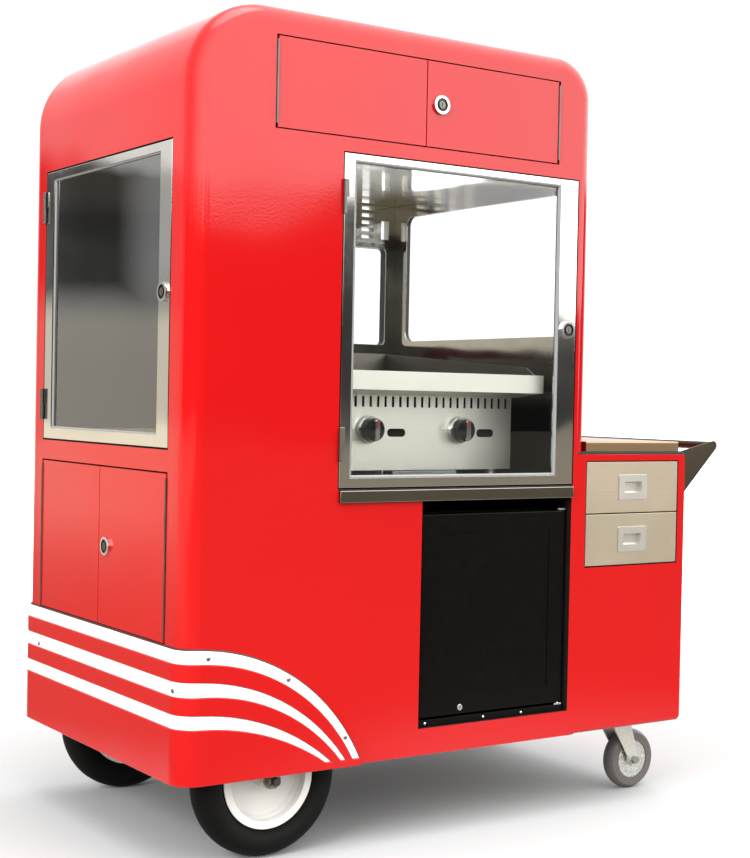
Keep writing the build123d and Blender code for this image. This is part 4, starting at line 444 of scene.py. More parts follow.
NUT_STEEL = Finish("nut_steel", "zinc_plate", (0.46, 0.41, 0.34), (0.12, 0.098, 0.08), (0.30, 0.50),
                   Pattern.MOULDED, even(240.0), metallic=0.9, bump=0.0003, marks=1.2)
OILED_STEEL = Finish("oiled_steel", "zinc_plate", (0.12, 0.11, 0.10), (0.04, 0.038, 0.035), (0.30, 0.55),
                     Pattern.MOULDED, even(160.0), metallic=0.9, bump=0.0003, marks=1.2)
TYRE = Finish("tyre_rubber", "tyre", (0.0020, 0.0019, 0.0017), (0.0040, 0.0038, 0.0035), (0.55, 0.70),
              Pattern.MOULDED, even(500.0), bump=0.0002, marks=0.8, ior=1.2)
TREAD = Finish("caster_rubber", "grey_rubber", (0.095, 0.083, 0.076), (0.065, 0.056, 0.051), (0.36, 0.50),
               Pattern.MOULDED, even(400.0), bump=0.0002, marks=0.8)
SEAL = Finish("silicone_seal", "white_trim", (0.22, 0.222, 0.225), (0.18, 0.182, 0.185), (0.30, 0.40),
              Pattern.MOULDED, even(300.0), bump=0.0001)
BLACK = Finish("satin_black", "fridge_black", (0.0020, 0.0018, 0.0015), (0.0028, 0.0026, 0.0023),
               (0.20, 0.30), Pattern.MOULDED, even(600.0), bump=0.00008, marks=0.25, ior=1.18)
KNOB_BLACK = Finish("knob_black", "bright_chrome", (0.006, 0.006, 0.0065), (0.010, 0.010, 0.010),
                    (0.18, 0.28), Pattern.MOULDED, even(500.0), bump=0.00005)
KNOB_RED = Finish("knob_red", "bright_chrome", (0.50, 0.015, 0.015), (0.42, 0.012, 0.012), (0.25, 0.35),
                  Pattern.MOULDED, even(500.0))
# Dark sealant in the skirt's joint; its dark colour is partly painted shade, for the shadow line along the
# skirt's top edge.
SEALANT_AND_SHADE = Finish("joint_sealant", "grey_rubber", (0.030, 0.010, 0.008), (0.018, 0.007, 0.006), (0.45, 0.60),
                 Pattern.MOULDED, even(250.0), bump=0.0002)
# Painted shade: near-black in the red gelcoat's slot, laid on the jambs in door gaps and along the front of the
# sill, where shadow falls.
SHADOW = Finish("dark_jamb", "red_gelcoat", (0.006, 0.0055, 0.005), (0.010, 0.009, 0.008), (0.45, 0.60),
                Pattern.MOULDED, even(250.0), bump=0.0001, ior=1.25)
# Painted shade: a dark finish on the cut edges and reveals of the serving window and the back hatch, for the
# shade inside them.
SHADED_CUT_EDGE = Finish("edge_trim", "polished_stainless", (0.075, 0.073, 0.068), (0.05, 0.048, 0.045),
                  (0.35, 0.50), Pattern.MOULDED, even(250.0), bump=0.0001, ior=1.3)
CLEAR = Finish("clear_pane", "clear_glass", (0.96, 0.98, 0.975), (0.95, 0.975, 0.97), (0.0, 0.01),
               Pattern.RIPPLE, even(3.0), transmission=1.0, ior=1.46, marks=0.05)
SMOKED = replace(CLEAR, name="smoked_pane", colour=(0.20, 0.205, 0.20), shade=(0.19, 0.195, 0.19), ior=2.6)


def linked(name: str, mesh: bpy.types.Mesh) -> Thing:
    """Put a mesh into the scene as an object at the origin.

    Args:
        name: Name of the object.
        mesh: Its mesh.

    Returns:
        The object.
    """
    thing = bpy.data.objects.new(name, mesh)
    bpy.context.scene.collection.objects.link(thing)
    return thing


def welded(*nodes: str, reach: float = WELD) -> bmesh.types.BMesh:
    """Read the meshes of nodes as one working mesh, with corners that meet merged.

    Args:
        nodes: Names of the nodes.
        reach: Distance within which corners are merged.

    Returns:
        The working mesh, which the caller frees.
    """
    work = bmesh.new()
    for node in nodes:
        work.from_mesh(frame["nodes"][node].data)
    bmesh.ops.remove_doubles(work, verts=work.verts, dist=reach)
    return work


def kept_mesh(work: bmesh.types.BMesh, name: str) -> bpy.types.Mesh:
    """Turn a working mesh into one that an object can have, and free it.

    Args:
        work: The working mesh.
        name: Name of the new mesh.

    Returns:
        The new mesh.
    """
    mesh = bpy.data.meshes.new(name)
    work.to_mesh(mesh)
    work.free()
    return mesh


def plain_mesh(thing: Thing) -> Thing:
    """Turn an object's modifiers into its mesh.

    Args:
        thing: Object with modifiers.

    Returns:
        The same object, with the evaluated mesh and no modifier.
    """
    bpy.context.view_layer.update()
    graph = bpy.context.evaluated_depsgraph_get()
    shaped = thing.evaluated_get(graph)
    mesh = bpy.data.meshes.new_from_object(shaped, preserve_all_data_layers=True, depsgraph=graph)
    thing.modifiers.clear()
    thing.data = mesh
    return thing


def mounted(thing: Thing, body: str, finish: Finish, *nodes: str) -> Thing:
    """Set a piece on its body, hide the nodes that it stands for and report it.

    Args:
        thing: The finished piece.
        body: Body that carries it.
        finish: Not used.
        nodes: Nodes that the piece stands for.

    Returns:
        The piece.
    """
    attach(thing, body)
    if nodes:
        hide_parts(*nodes)
    LOG.info("%s on %s: %d faces", thing.name, body, len(thing.data.polygons))
    return thing


def body_of_node(node: str) -> str:
    """Name of the body that carries a node."""
    groups = frame["record"]["behaviour"]["bodies"]
    return next(body for body, members in groups.items() if node in members)


def eased(thing: Thing, edge: Edge) -> Thing:
    """Round a piece's sharp edges and shade its curves smooth.

    Args:
        thing: Object with a merged mesh.
        edge: How the edges are eased.

    Returns:
        The same object with a plain mesh.
    """
    for polygon in thing.data.polygons:
        polygon.use_smooth = True
    if edge.width:
        bevel = thing.modifiers.new("ease", "BEVEL")
        bevel.width = edge.width
        bevel.segments = edge.value[1]
        bevel.limit_method = "ANGLE"
        bevel.angle_limit = SHARP
        bevel.use_clamp_overlap = True
    else:
        thing.data.set_sharp_from_angle(angle=SHARP)
    weight = thing.modifiers.new("flat", "WEIGHTED_NORMAL")
    weight.keep_sharp = True
    weight.weight = FLAT_WEIGHT
    return plain_mesh(thing)


def shaped_copy(node: str, *others: str) -> Thing:
    """Copy a node's mesh with its loose triangles joined and flat areas merged.

    Args:
        node: Name of the node.
        others: Nodes whose touching edges are joined to it without a seam.

    Returns:
        A new object, not yet on a body.
    """
    work = welded(node, *others, reach=SEAM if others else WELD)
    walls = [face for face in work.faces if sum(len(edge.link_faces) > 2 for edge in face.edges) > 1]
    bmesh.ops.delete(work, geom=walls, context="FACES_ONLY")
    bmesh.ops.dissolve_limit(work, angle_limit=FLAT, verts=work.verts, edges=work.edges)
    return linked(f"{node}_form", kept_mesh(work, f"{node}_form"))


def dressed(node: str, finish: Finish, edge: Edge, *joined: str) -> Thing:
    """Dress one node: a smooth copy with eased edges in its finish.

    Args:
        node: Name of the node.
        finish: Its finish.
        edge: How its edges are eased.
        joined: Nodes of the same body that are joined to it without a seam.

    Returns:
        The piece that stands for the node.
    """
    piece = eased(shaped_copy(node, *joined), edge)
    piece.data.materials.clear()
    piece.data.materials.append(finish.material())
    return mounted(piece, body_of_node(node), finish, node, *joined)


def repaint(piece: Thing, finish: Finish, low: Sequence[float], high: Sequence[float]) -> None:
    """Give the faces that lie wholly in a box another finish.

    Args:
        piece: Piece to repaint.
        finish: Finish for those faces.
        low: Lowest corner of the box.
        high: Highest corner of the box.
    """
    mesh = piece.data
    mesh.materials.append(finish.material())
    slack = 2 * WELD
    spans = [(least - slack, most + slack) for least, most in zip(low, high)]
    inside = [all(a <= c <= b for c, (a, b) in zip(vertex.co, spans)) for vertex in mesh.vertices]
    for polygon in mesh.polygons:
        if all(inside[corner] for corner in polygon.vertices):
            polygon.material_index = len(mesh.materials) - 1


def around(nodes: Sequence[str], margin: float) -> Box:
    """Box round several nodes, grown on every side.

    Args:
        nodes: Names of the nodes.
        margin: Growth in metres.

    Returns:
        Lowest and highest corner.
    """
    boxes = [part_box(node) for node in nodes]
    low = Vector([min(box[0][axis] for box in boxes) - margin for axis in range(3)])
    high = Vector([max(box[1][axis] for box in boxes) + margin for axis in range(3)])
    return low, high


def opening(name: str, margin: float) -> Box:
    """Box of an opening that the record states, grown on every side.

    Args:
        name: The opening's name.
        margin: Growth in metres.

    Returns:
        Lowest and highest corner.
    """
    stated = next(item for item in frame["record"]["physics"]["openings"] if item["name"] == name)
    grow = Vector.Fill(3, margin)
    return Vector(stated["box_m"][0]) - grow, Vector(stated["box_m"][1]) + grow


class NodesTool:
    """A geometry node tree built in the script, with named inputs."""

    def __init__(self, name: str, inputs: dict[str, str]) -> None:
        """Make the tree with a geometry input and output and the named inputs.

        Args:
            name: Name of the tree.
            inputs: Socket type of each named input.
        """
        self.tree = bpy.data.node_groups.new(name, "GeometryNodeTree")
        self.tree.interface.new_socket("Geometry", in_out="INPUT", socket_type="NodeSocketGeometry")
        for label, kind in inputs.items():
            self.tree.interface.new_socket(label, in_out="INPUT", socket_type=kind)
        self.tree.interface.new_socket("Geometry", in_out="OUTPUT", socket_type="NodeSocketGeometry")
        self.source = self.tree.nodes.new("NodeGroupInput")
        self.sink = self.tree.nodes.new("NodeGroupOutput")

    def add(self, kind: str, links: dict[str, Socket] | None = None, **settings: object) -> bpy.types.Node:
        """Add a node, link its inputs by name and set its properties.

        Args:
            kind: Blender's node type.
            links: Sockets that feed the node's inputs.
            settings: Properties of the node.

        Returns:
            The node.
        """
        node = self.tree.nodes.new(kind)
        for label, value in settings.items():
            setattr(node, label, value)
        for label, socket in (links or {}).items():
            self.tree.links.new(socket, node.inputs[label])
        return node

    def close(self, geometry: Socket, metal: Socket) -> None:
        """End the tree in real geometry with its material.

        Args:
            geometry: What the tree has made.
            metal: Its material.
        """
        real = self.add("GeometryNodeRealizeInstances", {"Geometry": geometry})
        paint = self.add("GeometryNodeSetMaterial", {"Geometry": real.outputs[0], "Material": metal})
        self.tree.links.new(paint.outputs[0], self.sink.inputs[0])

    def run(self, thing: Thing, values: dict[str, object]) -> Thing:
        """Run the tree on an object and keep the result as its mesh.

        Args:
            thing: Object whose mesh the tree reads.
            values: Value of each named input.

        Returns:
            The same object, now a plain mesh.
        """
        modifier = thing.modifiers.new("tool", "NODES")
        modifier.node_group = self.tree
        for item in self.tree.interface.items_tree:
            if item.item_type == "SOCKET" and item.in_out == "INPUT" and item.name in values:
                modifier[item.identifier] = values[item.name]
        return plain_mesh(thing)


def screw_tool() -> NodesTool:
    """Build the tree that sets a screw on every vertex, with a random turn of its slots.

    Returns:
        The tree; each screw faces along its vertex's facing attribute.
    """
    tool = NodesTool("screw_rows", {"Head": "NodeSocketObject", "Scale": "NodeSocketFloat",
                                    "Seed": "NodeSocketInt", "Metal": "NodeSocketMaterial"})
    inputs = tool.source.outputs
    facing = tool.add("GeometryNodeInputNamedAttribute", data_type="FLOAT_VECTOR")
    facing.inputs["Name"].default_value = "facing"
    turn = tool.add("FunctionNodeAlignRotationToVector", {"Vector": facing.outputs["Attribute"]}, axis="Z")
    angle = tool.add("FunctionNodeRandomValue", {"Seed": inputs["Seed"]}, data_type="FLOAT")
    angle.inputs["Max"].default_value = math.tau
    spin = tool.add("FunctionNodeAxisAngleToRotation", {"Angle": angle.outputs["Value"]})
    spin.inputs["Axis"].default_value = UP
    both = tool.add("FunctionNodeRotateRotation", {
        "Rotation": turn.outputs[0], "Rotate By": spin.outputs[0]}, rotation_space="LOCAL")
    head = tool.add("GeometryNodeObjectInfo", {"Object": inputs["Head"]})
    points = tool.add("GeometryNodeMeshToPoints", {"Mesh": inputs["Geometry"]})
    placed = tool.add("GeometryNodeInstanceOnPoints", {
        "Points": points.outputs[0], "Instance": head.outputs["Geometry"],
        "Rotation": both.outputs[0], "Scale": inputs["Scale"]})
    tool.close(placed.outputs[0], inputs["Metal"])
    return tool


def bead_tool() -> NodesTool:
    """Build the tree that runs a round bead along a mesh's edges, with rounded corners.

    Returns:
        The tree.
    """
    tool = NodesTool("sealing_bead", {"Radius": "NodeSocketFloat", "Corner": "NodeSocketFloat",
                                      "Metal": "NodeSocketMaterial"})
    inputs = tool.source.outputs
    joined = tool.add("GeometryNodeMergeByDistance", {"Geometry": inputs["Geometry"]})
    path = tool.add("GeometryNodeMeshToCurve", {"Mesh": joined.outputs[0]})
    links = {"Curve": path.outputs[0], "Radius": inputs["Corner"]}
    soft = tool.add("GeometryNodeFilletCurve", links, mode="POLY")
    soft.inputs["Count"].default_value = CORNER_FACETS
    ring = tool.add("GeometryNodeCurvePrimitiveCircle", {"Radius": inputs["Radius"]})
    ring.inputs["Resolution"].default_value = BEAD_FACETS
    bead = tool.add("GeometryNodeCurveToMesh", {"Curve": soft.outputs[0], "Profile Curve": ring.outputs[0]})
    smooth = tool.add("GeometryNodeSetShadeSmooth", {"Geometry": bead.outputs[0]})
    tool.close(smooth.outputs[0], inputs["Metal"])
    return tool


@dataclass
class Workshop:
    """The shared tools: node trees and the stock screw that they place."""

    head_radius: float = 4.0 * MM
    head_height: float = 2.2 * MM
    head_rim: float = 0.35
    head_turns: tuple[float, ...] = (0.0, 0.3, 0.6, 0.85, 1.0)
    head_facets: int = 20
    head_crease: float = 40.0
    recess: float = 1.1 * MM
    slot_width: float = 0.22
    seed: int = 7
    screws: NodesTool = field(default_factory=screw_tool)
    beads: NodesTool = field(default_factory=bead_tool)

    def __post_init__(self) -> None:
        """Make the screw that the tree copies."""
        self.head = self.screw_head()

    def dome(self) -> Thing:
        """Turn the screw head's profile round its axis.

        Returns:
            The head without its recess.
        """
        work = bmesh.new()
        side = UP.orthogonal().normalized()
        angles = [turn * math.pi / 2 for turn in self.head_turns]
        crown = 1.0 - self.head_rim
        profile = [(math.sin(angle), self.head_rim + crown * math.cos(angle)) for angle in angles]
        profile.append((1.0, 0.0))
        points = [work.verts.new(side * self.head_radius * out + UP * self.head_height * rise)
                  for out, rise in profile]
        edges = [work.edges.new(pair) for pair in zip(points, points[1:])]
        bmesh.ops.spin(work, geom=points + edges, cent=Vector(), axis=UP, angle=math.tau,
                       steps=self.head_facets, use_merge=True)
        bmesh.ops.remove_doubles(work, verts=work.verts, dist=WELD)
        bmesh.ops.recalc_face_normals(work, faces=work.faces)
        return linked("screw_head", kept_mesh(work, "screw_head"))

    def screw_head(self) -> Thing:
        """Make a pan-head screw with a cross recess, standing on its origin.

        Returns:
            The screw head's object, which is removed when the cart is done.
        """
        head = self.dome()
        cross = bmesh.new()
        top = Matrix.Translation((0, 0, self.head_height))
        for wide, deep in ((1.0, self.slot_width), (self.slot_width, 1.0)):
            sides = Matrix.Diagonal((wide * self.head_radius, deep * self.head_radius, 2 * self.recess, 1.0))
            bmesh.ops.create_cube(cross, size=1.0, matrix=top @ sides)
        cutter = linked("screw_cross", kept_mesh(cross, "screw_cross"))
        cut = head.modifiers.new("recess", "BOOLEAN")
        cut.object = cutter
        cut.use_self = True
        plain_mesh(head)
        bpy.data.objects.remove(cutter)
        for polygon in head.data.polygons:
            polygon.use_smooth = True
        head.data.set_sharp_from_angle(angle=math.radians(self.head_crease))
        return head

    def screw_row(self, name: str, places: Sequence[Point], facing: Point, finish: Finish,
                  scale: float) -> None:
        """Set screws on a face of the cart, as one piece.

        Args:
            name: Name of the piece.
            places: Point under each head.
            facing: Direction that the heads face.
            finish: Finish of the heads.
            scale: Size against the stock screw.
        """
        mesh = bpy.data.meshes.new(name)
        mesh.from_pydata(places, [], [])
        attribute = mesh.attributes.new("facing", "FLOAT_VECTOR", "POINT")
        for item in attribute.data:
            item.vector = facing
        values = {"Head": self.head, "Scale": scale, "Seed": self.seed, "Metal": finish.material()}
        mounted(self.screws.run(linked(name, mesh), values), "cart", finish)

    def bead(self, name: str, body: str, corners: Sequence[Point], radius: float, corner: float,
             finish: Finish, edges: Sequence[tuple[int, int]] = ()) -> None:
        """Run a bead along a path.

        Args:
            name: Name of the piece.
            body: Body that carries it.
            corners: Corners of the path.
            radius: Radius of the bead.
            corner: Radius of the path's corners.
            finish: Finish of the bead.
            edges: Pairs of corners that the path joins; a closed loop without them.
        """
        mesh = bpy.data.meshes.new(name)
        count = len(corners)
        mesh.from_pydata(corners, edges or [(n, (n + 1) % count) for n in range(count)], [])
        values = {"Radius": radius, "Corner": corner, "Metal": finish.material()}
        mounted(self.beads.run(linked(name, mesh), values), body, finish)

    def clear(self) -> None:
        """Take the stock screw out of the scene."""
        bpy.data.objects.remove(self.head)


@dataclass
class CamLock:
    """A chrome cam lock with painted shade in the recess round its plug, facing down x (axis 0) or down y (axis
    1).
    """

    node: str
    axis: int
    face: float = 0.1 * MM
    bore: float = 0.75
    bore_depth: float = 7.5 * MM
    plug_depth: float = 0.2 * MM

    def build(self) -> None:
        """Dress the lock, then paint shade into its recess and give the front of its plug the darker hinge
        steel.
        """
        mesh = dressed(self.node, CHROME, Edge.TURNED).data
        front = min(vertex.co[self.axis] for vertex in mesh.vertices)
        rim = [vertex.co for vertex in mesh.vertices if vertex.co[self.axis] - front < self.face]
        centre = Vector([(min(c[n] for c in rim) + max(c[n] for c in rim)) / 2 for n in range(3)])
        radius = (max(c.z for c in rim) - min(c.z for c in rim)) / 2
        # The recess's walls and floor take near-black: painted shade in the recess.
        for finish in (KNOB_BLACK, HINGE_STEEL):
            mesh.materials.append(finish.material())
        for polygon in mesh.polygons:
            spots = [mesh.vertices[corner].co - centre for corner in polygon.vertices]
            depth = max(spot[self.axis] for spot in spots)
            for spot in spots:
                spot[self.axis] = 0.0
            if max(spot.length for spot in spots) < self.bore * radius and depth < self.bore_depth:
                polygon.material_index = 2 if depth < self.plug_depth else 1


@dataclass
class RedBody:
    """Glass-fibre mouldings, red doors, hinges, locks and the striped skirt."""

    tools: Workshop
    jamb_margin: float = 36.0 * MM
    jamb_start: float = 0.025 * MM
    roof_skin: float = 0.2 * MM
    opening_inset: float = 12.0 * MM
    vent_drop: float = 20.0 * MM
    skin: float = 4.0 * MM
    skin_reach: float = 0.75
    cut_lean: float = 0.1
    reveal_sheet: float = 0.8 * MM
    back_gap: float = 22.0 * MM
    side_gap: float = 8.0 * MM
    joint_bead: float = 3.4 * MM
    joint_turn: float = 0.5
    joint_rise: float = 0.2
    core: float = 46.0 * MM
    hinge_span: float = 5.6 * MM
    stripe_face: float = 6.9 * MM
    screw_scale: float = 1.35
    front_screws: tuple[Span, ...] = ((57.0, 477.0), (260.0, 415.0), (414.0, 269.0))
    end_screws: tuple[Span, ...] = ((34.0, 406.0), (793.0, 402.0))

    def build(self) -> None:
        """Dress the body's nodes, seal the skirt and set the stripe screws."""
        dressed("low_panel", RED, Edge.MOULDED)
        front = dressed("front_panel", RED, Edge.MOULDED)
        # Painted shade on the jambs round each door.
        for nodes in (("front_door_frame",), ("upper_door_left", "upper_door_right"), ("fridge_door",),
                      ("drawer_front_top", "drawer_front_bottom")):
            self.dark_jamb(front, nodes, 1)
        end = dressed("end_panel", RED, Edge.MOULDED, "roof_panel")
        for nodes in (("end_door_frame",), ("locker_door_back", "locker_door_front")):
            self.dark_jamb(end, nodes, 0)
        low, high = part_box("roof_panel")
        repaint(end, RED_ROOF, (low.x, low.y, high.z - self.roof_skin), high)
        self.cut_edges()
        for node, axis, side in (("upper_door_left", 0, -1), ("upper_door_right", 0, 1),
                                 ("locker_door_back", 1, 1), ("locker_door_front", 1, -1)):
            self.red_door(node, axis, side)
        dressed("skirt", RED, Edge.RIB)
        dressed("skirt_stripes", WHITE_STRIP, Edge.PRESSED)
        self.skirt_joint()
        # Hinge leaves in the dark hinge steel: painted shade.
        dressed("hinge_leaves", HINGE_STEEL, Edge.LEAF)
        dressed("hinge_pins", CHROME, Edge.NONE)
        CamLock("upper_door_lock", 1).build()
        CamLock("locker_door_lock", 0).build()
        self.stripe_screws()

    def red_door(self, node: str, axis: int, side: int) -> None:
        """Dress a red door, with dark hinge steel on its half of the piano hinge, painted shade on the hinge.

        Args:
            node: The door's node.
            axis: Axis across the door: 0 for x, 1 for y.
            side: Which way the hinge lies along that axis: -1 or 1.
        """
        low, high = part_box(node)
        if side < 0:
            high[axis] = low[axis] + self.hinge_span
        else:
            low[axis] = high[axis] - self.hinge_span
        repaint(dressed(node, RED, Edge.DOOR), HINGE_STEEL, low, high)

    def dark_jamb(self, panel: Thing, nodes: Sequence[str], axis: int) -> None:
        """Paint shade on the jamb behind the gap round a door: a near-black finish where the gap's shadow
        falls.

        Args:
            panel: The dressed panel.
            nodes: The doors that fill the opening.
            axis: Axis that the panel faces along: 0 for x, 1 for y.
        """
        low, high = around(nodes, self.jamb_margin)
        low[axis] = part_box("front_panel")[0][axis] + self.jamb_start
        repaint(panel, SHADOW, low, high)

    def cut_edges(self) -> None:
        """Dress the serving side and the back, and line the edges of the hatch, the window and the vents: the
        hatch's and the window's in a dark finish that is painted shade, the vents' in white that is painted
        light.
        """
        lip = self.opening_inset + Edge.MOULDED.width
        window = opening("serving_window", lip)
        # The window's and the hatch's cut edges and reveals take the dark finish: painted shade.
        repaint(dressed("serving_panel", RED, Edge.MOULDED), SHADED_CUT_EDGE, *window)
        self.reveal("window_reveal", "serving_panel", 0, self.side_gap, window, SHADED_CUT_EDGE)
        back = dressed("back_panel", RED, Edge.MOULDED)
        hatch = opening("back_hatch", lip)
        repaint(back, SHADED_CUT_EDGE, *hatch)
        self.reveal("hatch_reveal", "back_panel", 1, self.back_gap, hatch, SHADED_CUT_EDGE)
        low, high = hatch
        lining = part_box("linings")[1]
        vents = Vector((low.x, low.y, high.z + self.vent_drop)), Vector((lining.x, high.y, lining.z))
        # The vents' cut edges and reveals are painted white: painted light for the bright backdrop seen through
        # the slots.
        repaint(back, WHITE_STRIP, *vents)
        self.reveal("vent_reveals", "back_panel", 1, self.back_gap, vents, WHITE_STRIP)

    def reveal(self, name: str, panel: str, axis: int, gap: float, space: Box, finish: Finish) -> None:
        """Line openings from their panel's inner face to the lining behind it.

        Args:
            name: Name of the piece.
            panel: Node whose cut edges are carried on.
            axis: Axis that the panel faces along: 0 for x, 1 for y.
            gap: Distance from the panel to the lining.
            space: Lowest and highest corner of a box round the openings.
            finish: Finish of the strips.
        """
        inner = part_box(panel)[1][axis] - self.skin
        work = welded(panel)
        work.normal_update()
        strips = bmesh.new()
        for edge in work.edges:
            ends = [vertex.co for vertex in edge.verts]
            cut = [face.normal for face in edge.link_faces if abs(face.normal[axis]) < self.cut_lean]
            near = all(abs(end[axis] - inner) < self.skin * self.skin_reach for end in ends)
            within = all(a <= c <= b for end in ends for a, c, b in zip(space[0], end, space[1]))
            if near and within and len(cut) == 1:
                moved = [end.copy() for end in ends]
                for end in moved:
                    end[axis] = inner - gap
                loop = [ends[0], ends[1], moved[1], moved[0]]
                facing = (loop[1] - loop[0]).cross(loop[2] - loop[1]).dot(cut[0])
                corners = loop if facing > 0 else reversed(loop)
                strips.faces.new([strips.verts.new(corner) for corner in corners])
        work.free()
        bmesh.ops.remove_doubles(strips, verts=strips.verts, dist=WELD)
        strip = linked(name, kept_mesh(strips, name))
        strip.data.materials.append(finish.material())
        sheet = strip.modifiers.new("sheet", "SOLIDIFY")
        sheet.thickness = self.reveal_sheet
        sheet.offset = -1.0
        mounted(plain_mesh(strip), "cart", finish)

    def skirt_joint(self) -> None:
        """Lay a dark sealant bead in the corner between the body and the skirt's top edge; its dark colour is
        partly painted shade, for the shadow line along that edge.
        """
        inset = Vector.Fill(3, self.core)
        low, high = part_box("front_panel")[0] + inset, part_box("back_panel")[1] - inset
        work = welded("skirt")
        work.normal_update()
        points: list[Point] = []
        edges: list[tuple[int, int]] = []
        for edge in work.edges:
            mid = (edge.verts[0].co + edge.verts[1].co) / 2
            out = Vector([c - min(max(c, a), b) for a, c, b in zip(low, mid, high)])
            out.z = 0.0
            out.normalize()
            turns = [(face.normal.dot(out), face.normal.z) for face in edge.link_faces]
            inward = any(turn < -self.joint_turn for turn, rise in turns)
            topmost = any(abs(turn) < self.joint_turn and rise > self.joint_rise for turn, rise in turns)
            if inward and topmost:
                edges.append((len(points), len(points) + 1))
                points.extend(tuple(vertex.co) for vertex in edge.verts)
        work.free()
        self.tools.bead("skirt_joint", "cart", points, self.joint_bead, 0.0, SEALANT_AND_SHADE, edges)

    def stripe_screws(self) -> None:
        """Set the small screws that hold the white stripes, on the front, the back and the closed end."""
        low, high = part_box("front_panel")[0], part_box("back_panel")[1]
        front = [(low.x + x * MM, low.y - self.stripe_face, z * MM) for x, z in self.front_screws]
        back = [(x, high.y + self.stripe_face, z) for x, y, z in front]
        end = [(low.x - self.stripe_face, low.y + y * MM, z * MM) for y, z in self.end_screws]
        for side, places, facing in (("front", front, (0, -1, 0)), ("back", back, (0, 1, 0)),
                                     ("end", end, (-1, 0, 0))):
            self.tools.screw_row(f"stripe_screws_{side}", places, facing, SCREW_STEEL, self.screw_scale)


@dataclass
class GlassDoors:
    """The two framed glass doors with their seals and locks, and a bead of painted shade on the sill below
    them.
    """

    tools: Workshop
    front_seal: float = 5.0 * MM
    end_seal: float = 3.0 * MM
    seal_inset: float = 0.4
    seal_sink: float = 0.5
    seal_corner: float = 4.0 * MM
    bite: float = 8.0 * MM
    hinge_gap: float = 0.3 * MM
    sill_strip: float = 1.8 * MM
    strip_rise: float = 0.8

    def build(self) -> None:
        """Dress the doors and lay a bead of painted shade along the front of the sill."""
        self.glass_door("front", 1, CLEAR, self.front_seal)
        self.glass_door("end", 0, SMOKED, self.end_seal)
        low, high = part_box("sill")
        level, front = high.z + self.sill_strip * self.strip_rise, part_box("front_panel")[0].y
        ends = [(low.x, front, level), (high.x, front, level)]
        # The bead takes the shadow finish: painted shade below the door.
        self.tools.bead("sill_strip", "cart", ends, self.sill_strip, 0.0, SHADOW, [(0, 1)])

    def glass_door(self, door: str, axis: int, pane: Finish, seal: float) -> None:
        """Dress a door's frame, hinge knuckles, pane and lock, and lay the seal round its pane.

        Args:
            door: Which door: front or end.
            axis: Axis that it faces along: 0 for x, 1 for y.
            pane: Finish of the pane.
            seal: Radius of the seal.
        """
        rails = f"{door}_door_frame"
        low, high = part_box(rails)
        high[axis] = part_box("front_panel")[0][axis] - self.hinge_gap
        # The frame's hinge side takes the dark hinge steel: painted shade on the hinge knuckles.
        repaint(dressed(rails, MIRROR_STEEL, Edge.ROUNDED), HINGE_STEEL, low, high)
        dressed(f"{door}_door_glass", pane, Edge.NONE)
        CamLock(f"{door}_door_lock", axis).build()
        low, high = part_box(f"{door}_door_glass")
        inset = self.bite + seal * self.seal_inset
        across = 1 - axis
        near, far = low.copy(), low.copy()
        near[axis] = far[axis] = low[axis] - seal * self.seal_sink
        near[across], far[across] = low[across] + inset, high[across] - inset
        bottom, top = low.z + inset, high.z - inset
        corners = [(*side.xy, z) for side, z in ((near, bottom), (far, bottom), (far, top), (near, top))]
        self.tools.bead(f"{door}_pane_seal", f"{door}_door", corners, seal, self.seal_corner, SEAL)


@dataclass
class Interior:
    """Stainless floors, walls, linings and worktop, with the handle and the runners."""

    sheets: tuple[tuple[str, Finish], ...] = (
        ("floor_pan", STEEL_X), ("bay_walls", STEEL_Y), ("cooking_deck", DECK_STEEL),
        ("linings", LINING_STEEL), ("sill", SILL_STEEL), ("worktop", WORKTOP_STEEL),
        ("push_handle", HANDLE_STEEL), ("drawer_runners", ZINC))

    def build(self) -> None:
        """Dress the sheets."""
        for node, finish in self.sheets:
            dressed(node, finish, Edge.SHEET)


@dataclass
class Drawers:
    """Two drawers with recessed pulls."""

    pull_width: float = 100.0 * MM
    pull_height: float = 67.0 * MM
    pull_depth: float = 12.5 * MM

    def build(self) -> None:
        """Dress the trays and the fronts, with the pulls in a lighter satin."""
        for place in ("top", "bottom"):
            dressed(f"drawer_{place}", STEEL_Y, Edge.BOX)
            front = f"drawer_front_{place}"
            low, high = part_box(front)
            centre = (low + high) / 2
            half = Vector((self.pull_width / 2, 0.0, self.pull_height / 2))
            near, far = centre - half, centre + half
            near.y, far.y = low.y, low.y + self.pull_depth
            # The fronts' beige tint is painted reflection; the pulls take a lighter satin.
            repaint(dressed(front, DRAWER_STEEL, Edge.PRESSED), PULL_SATIN, near, far)


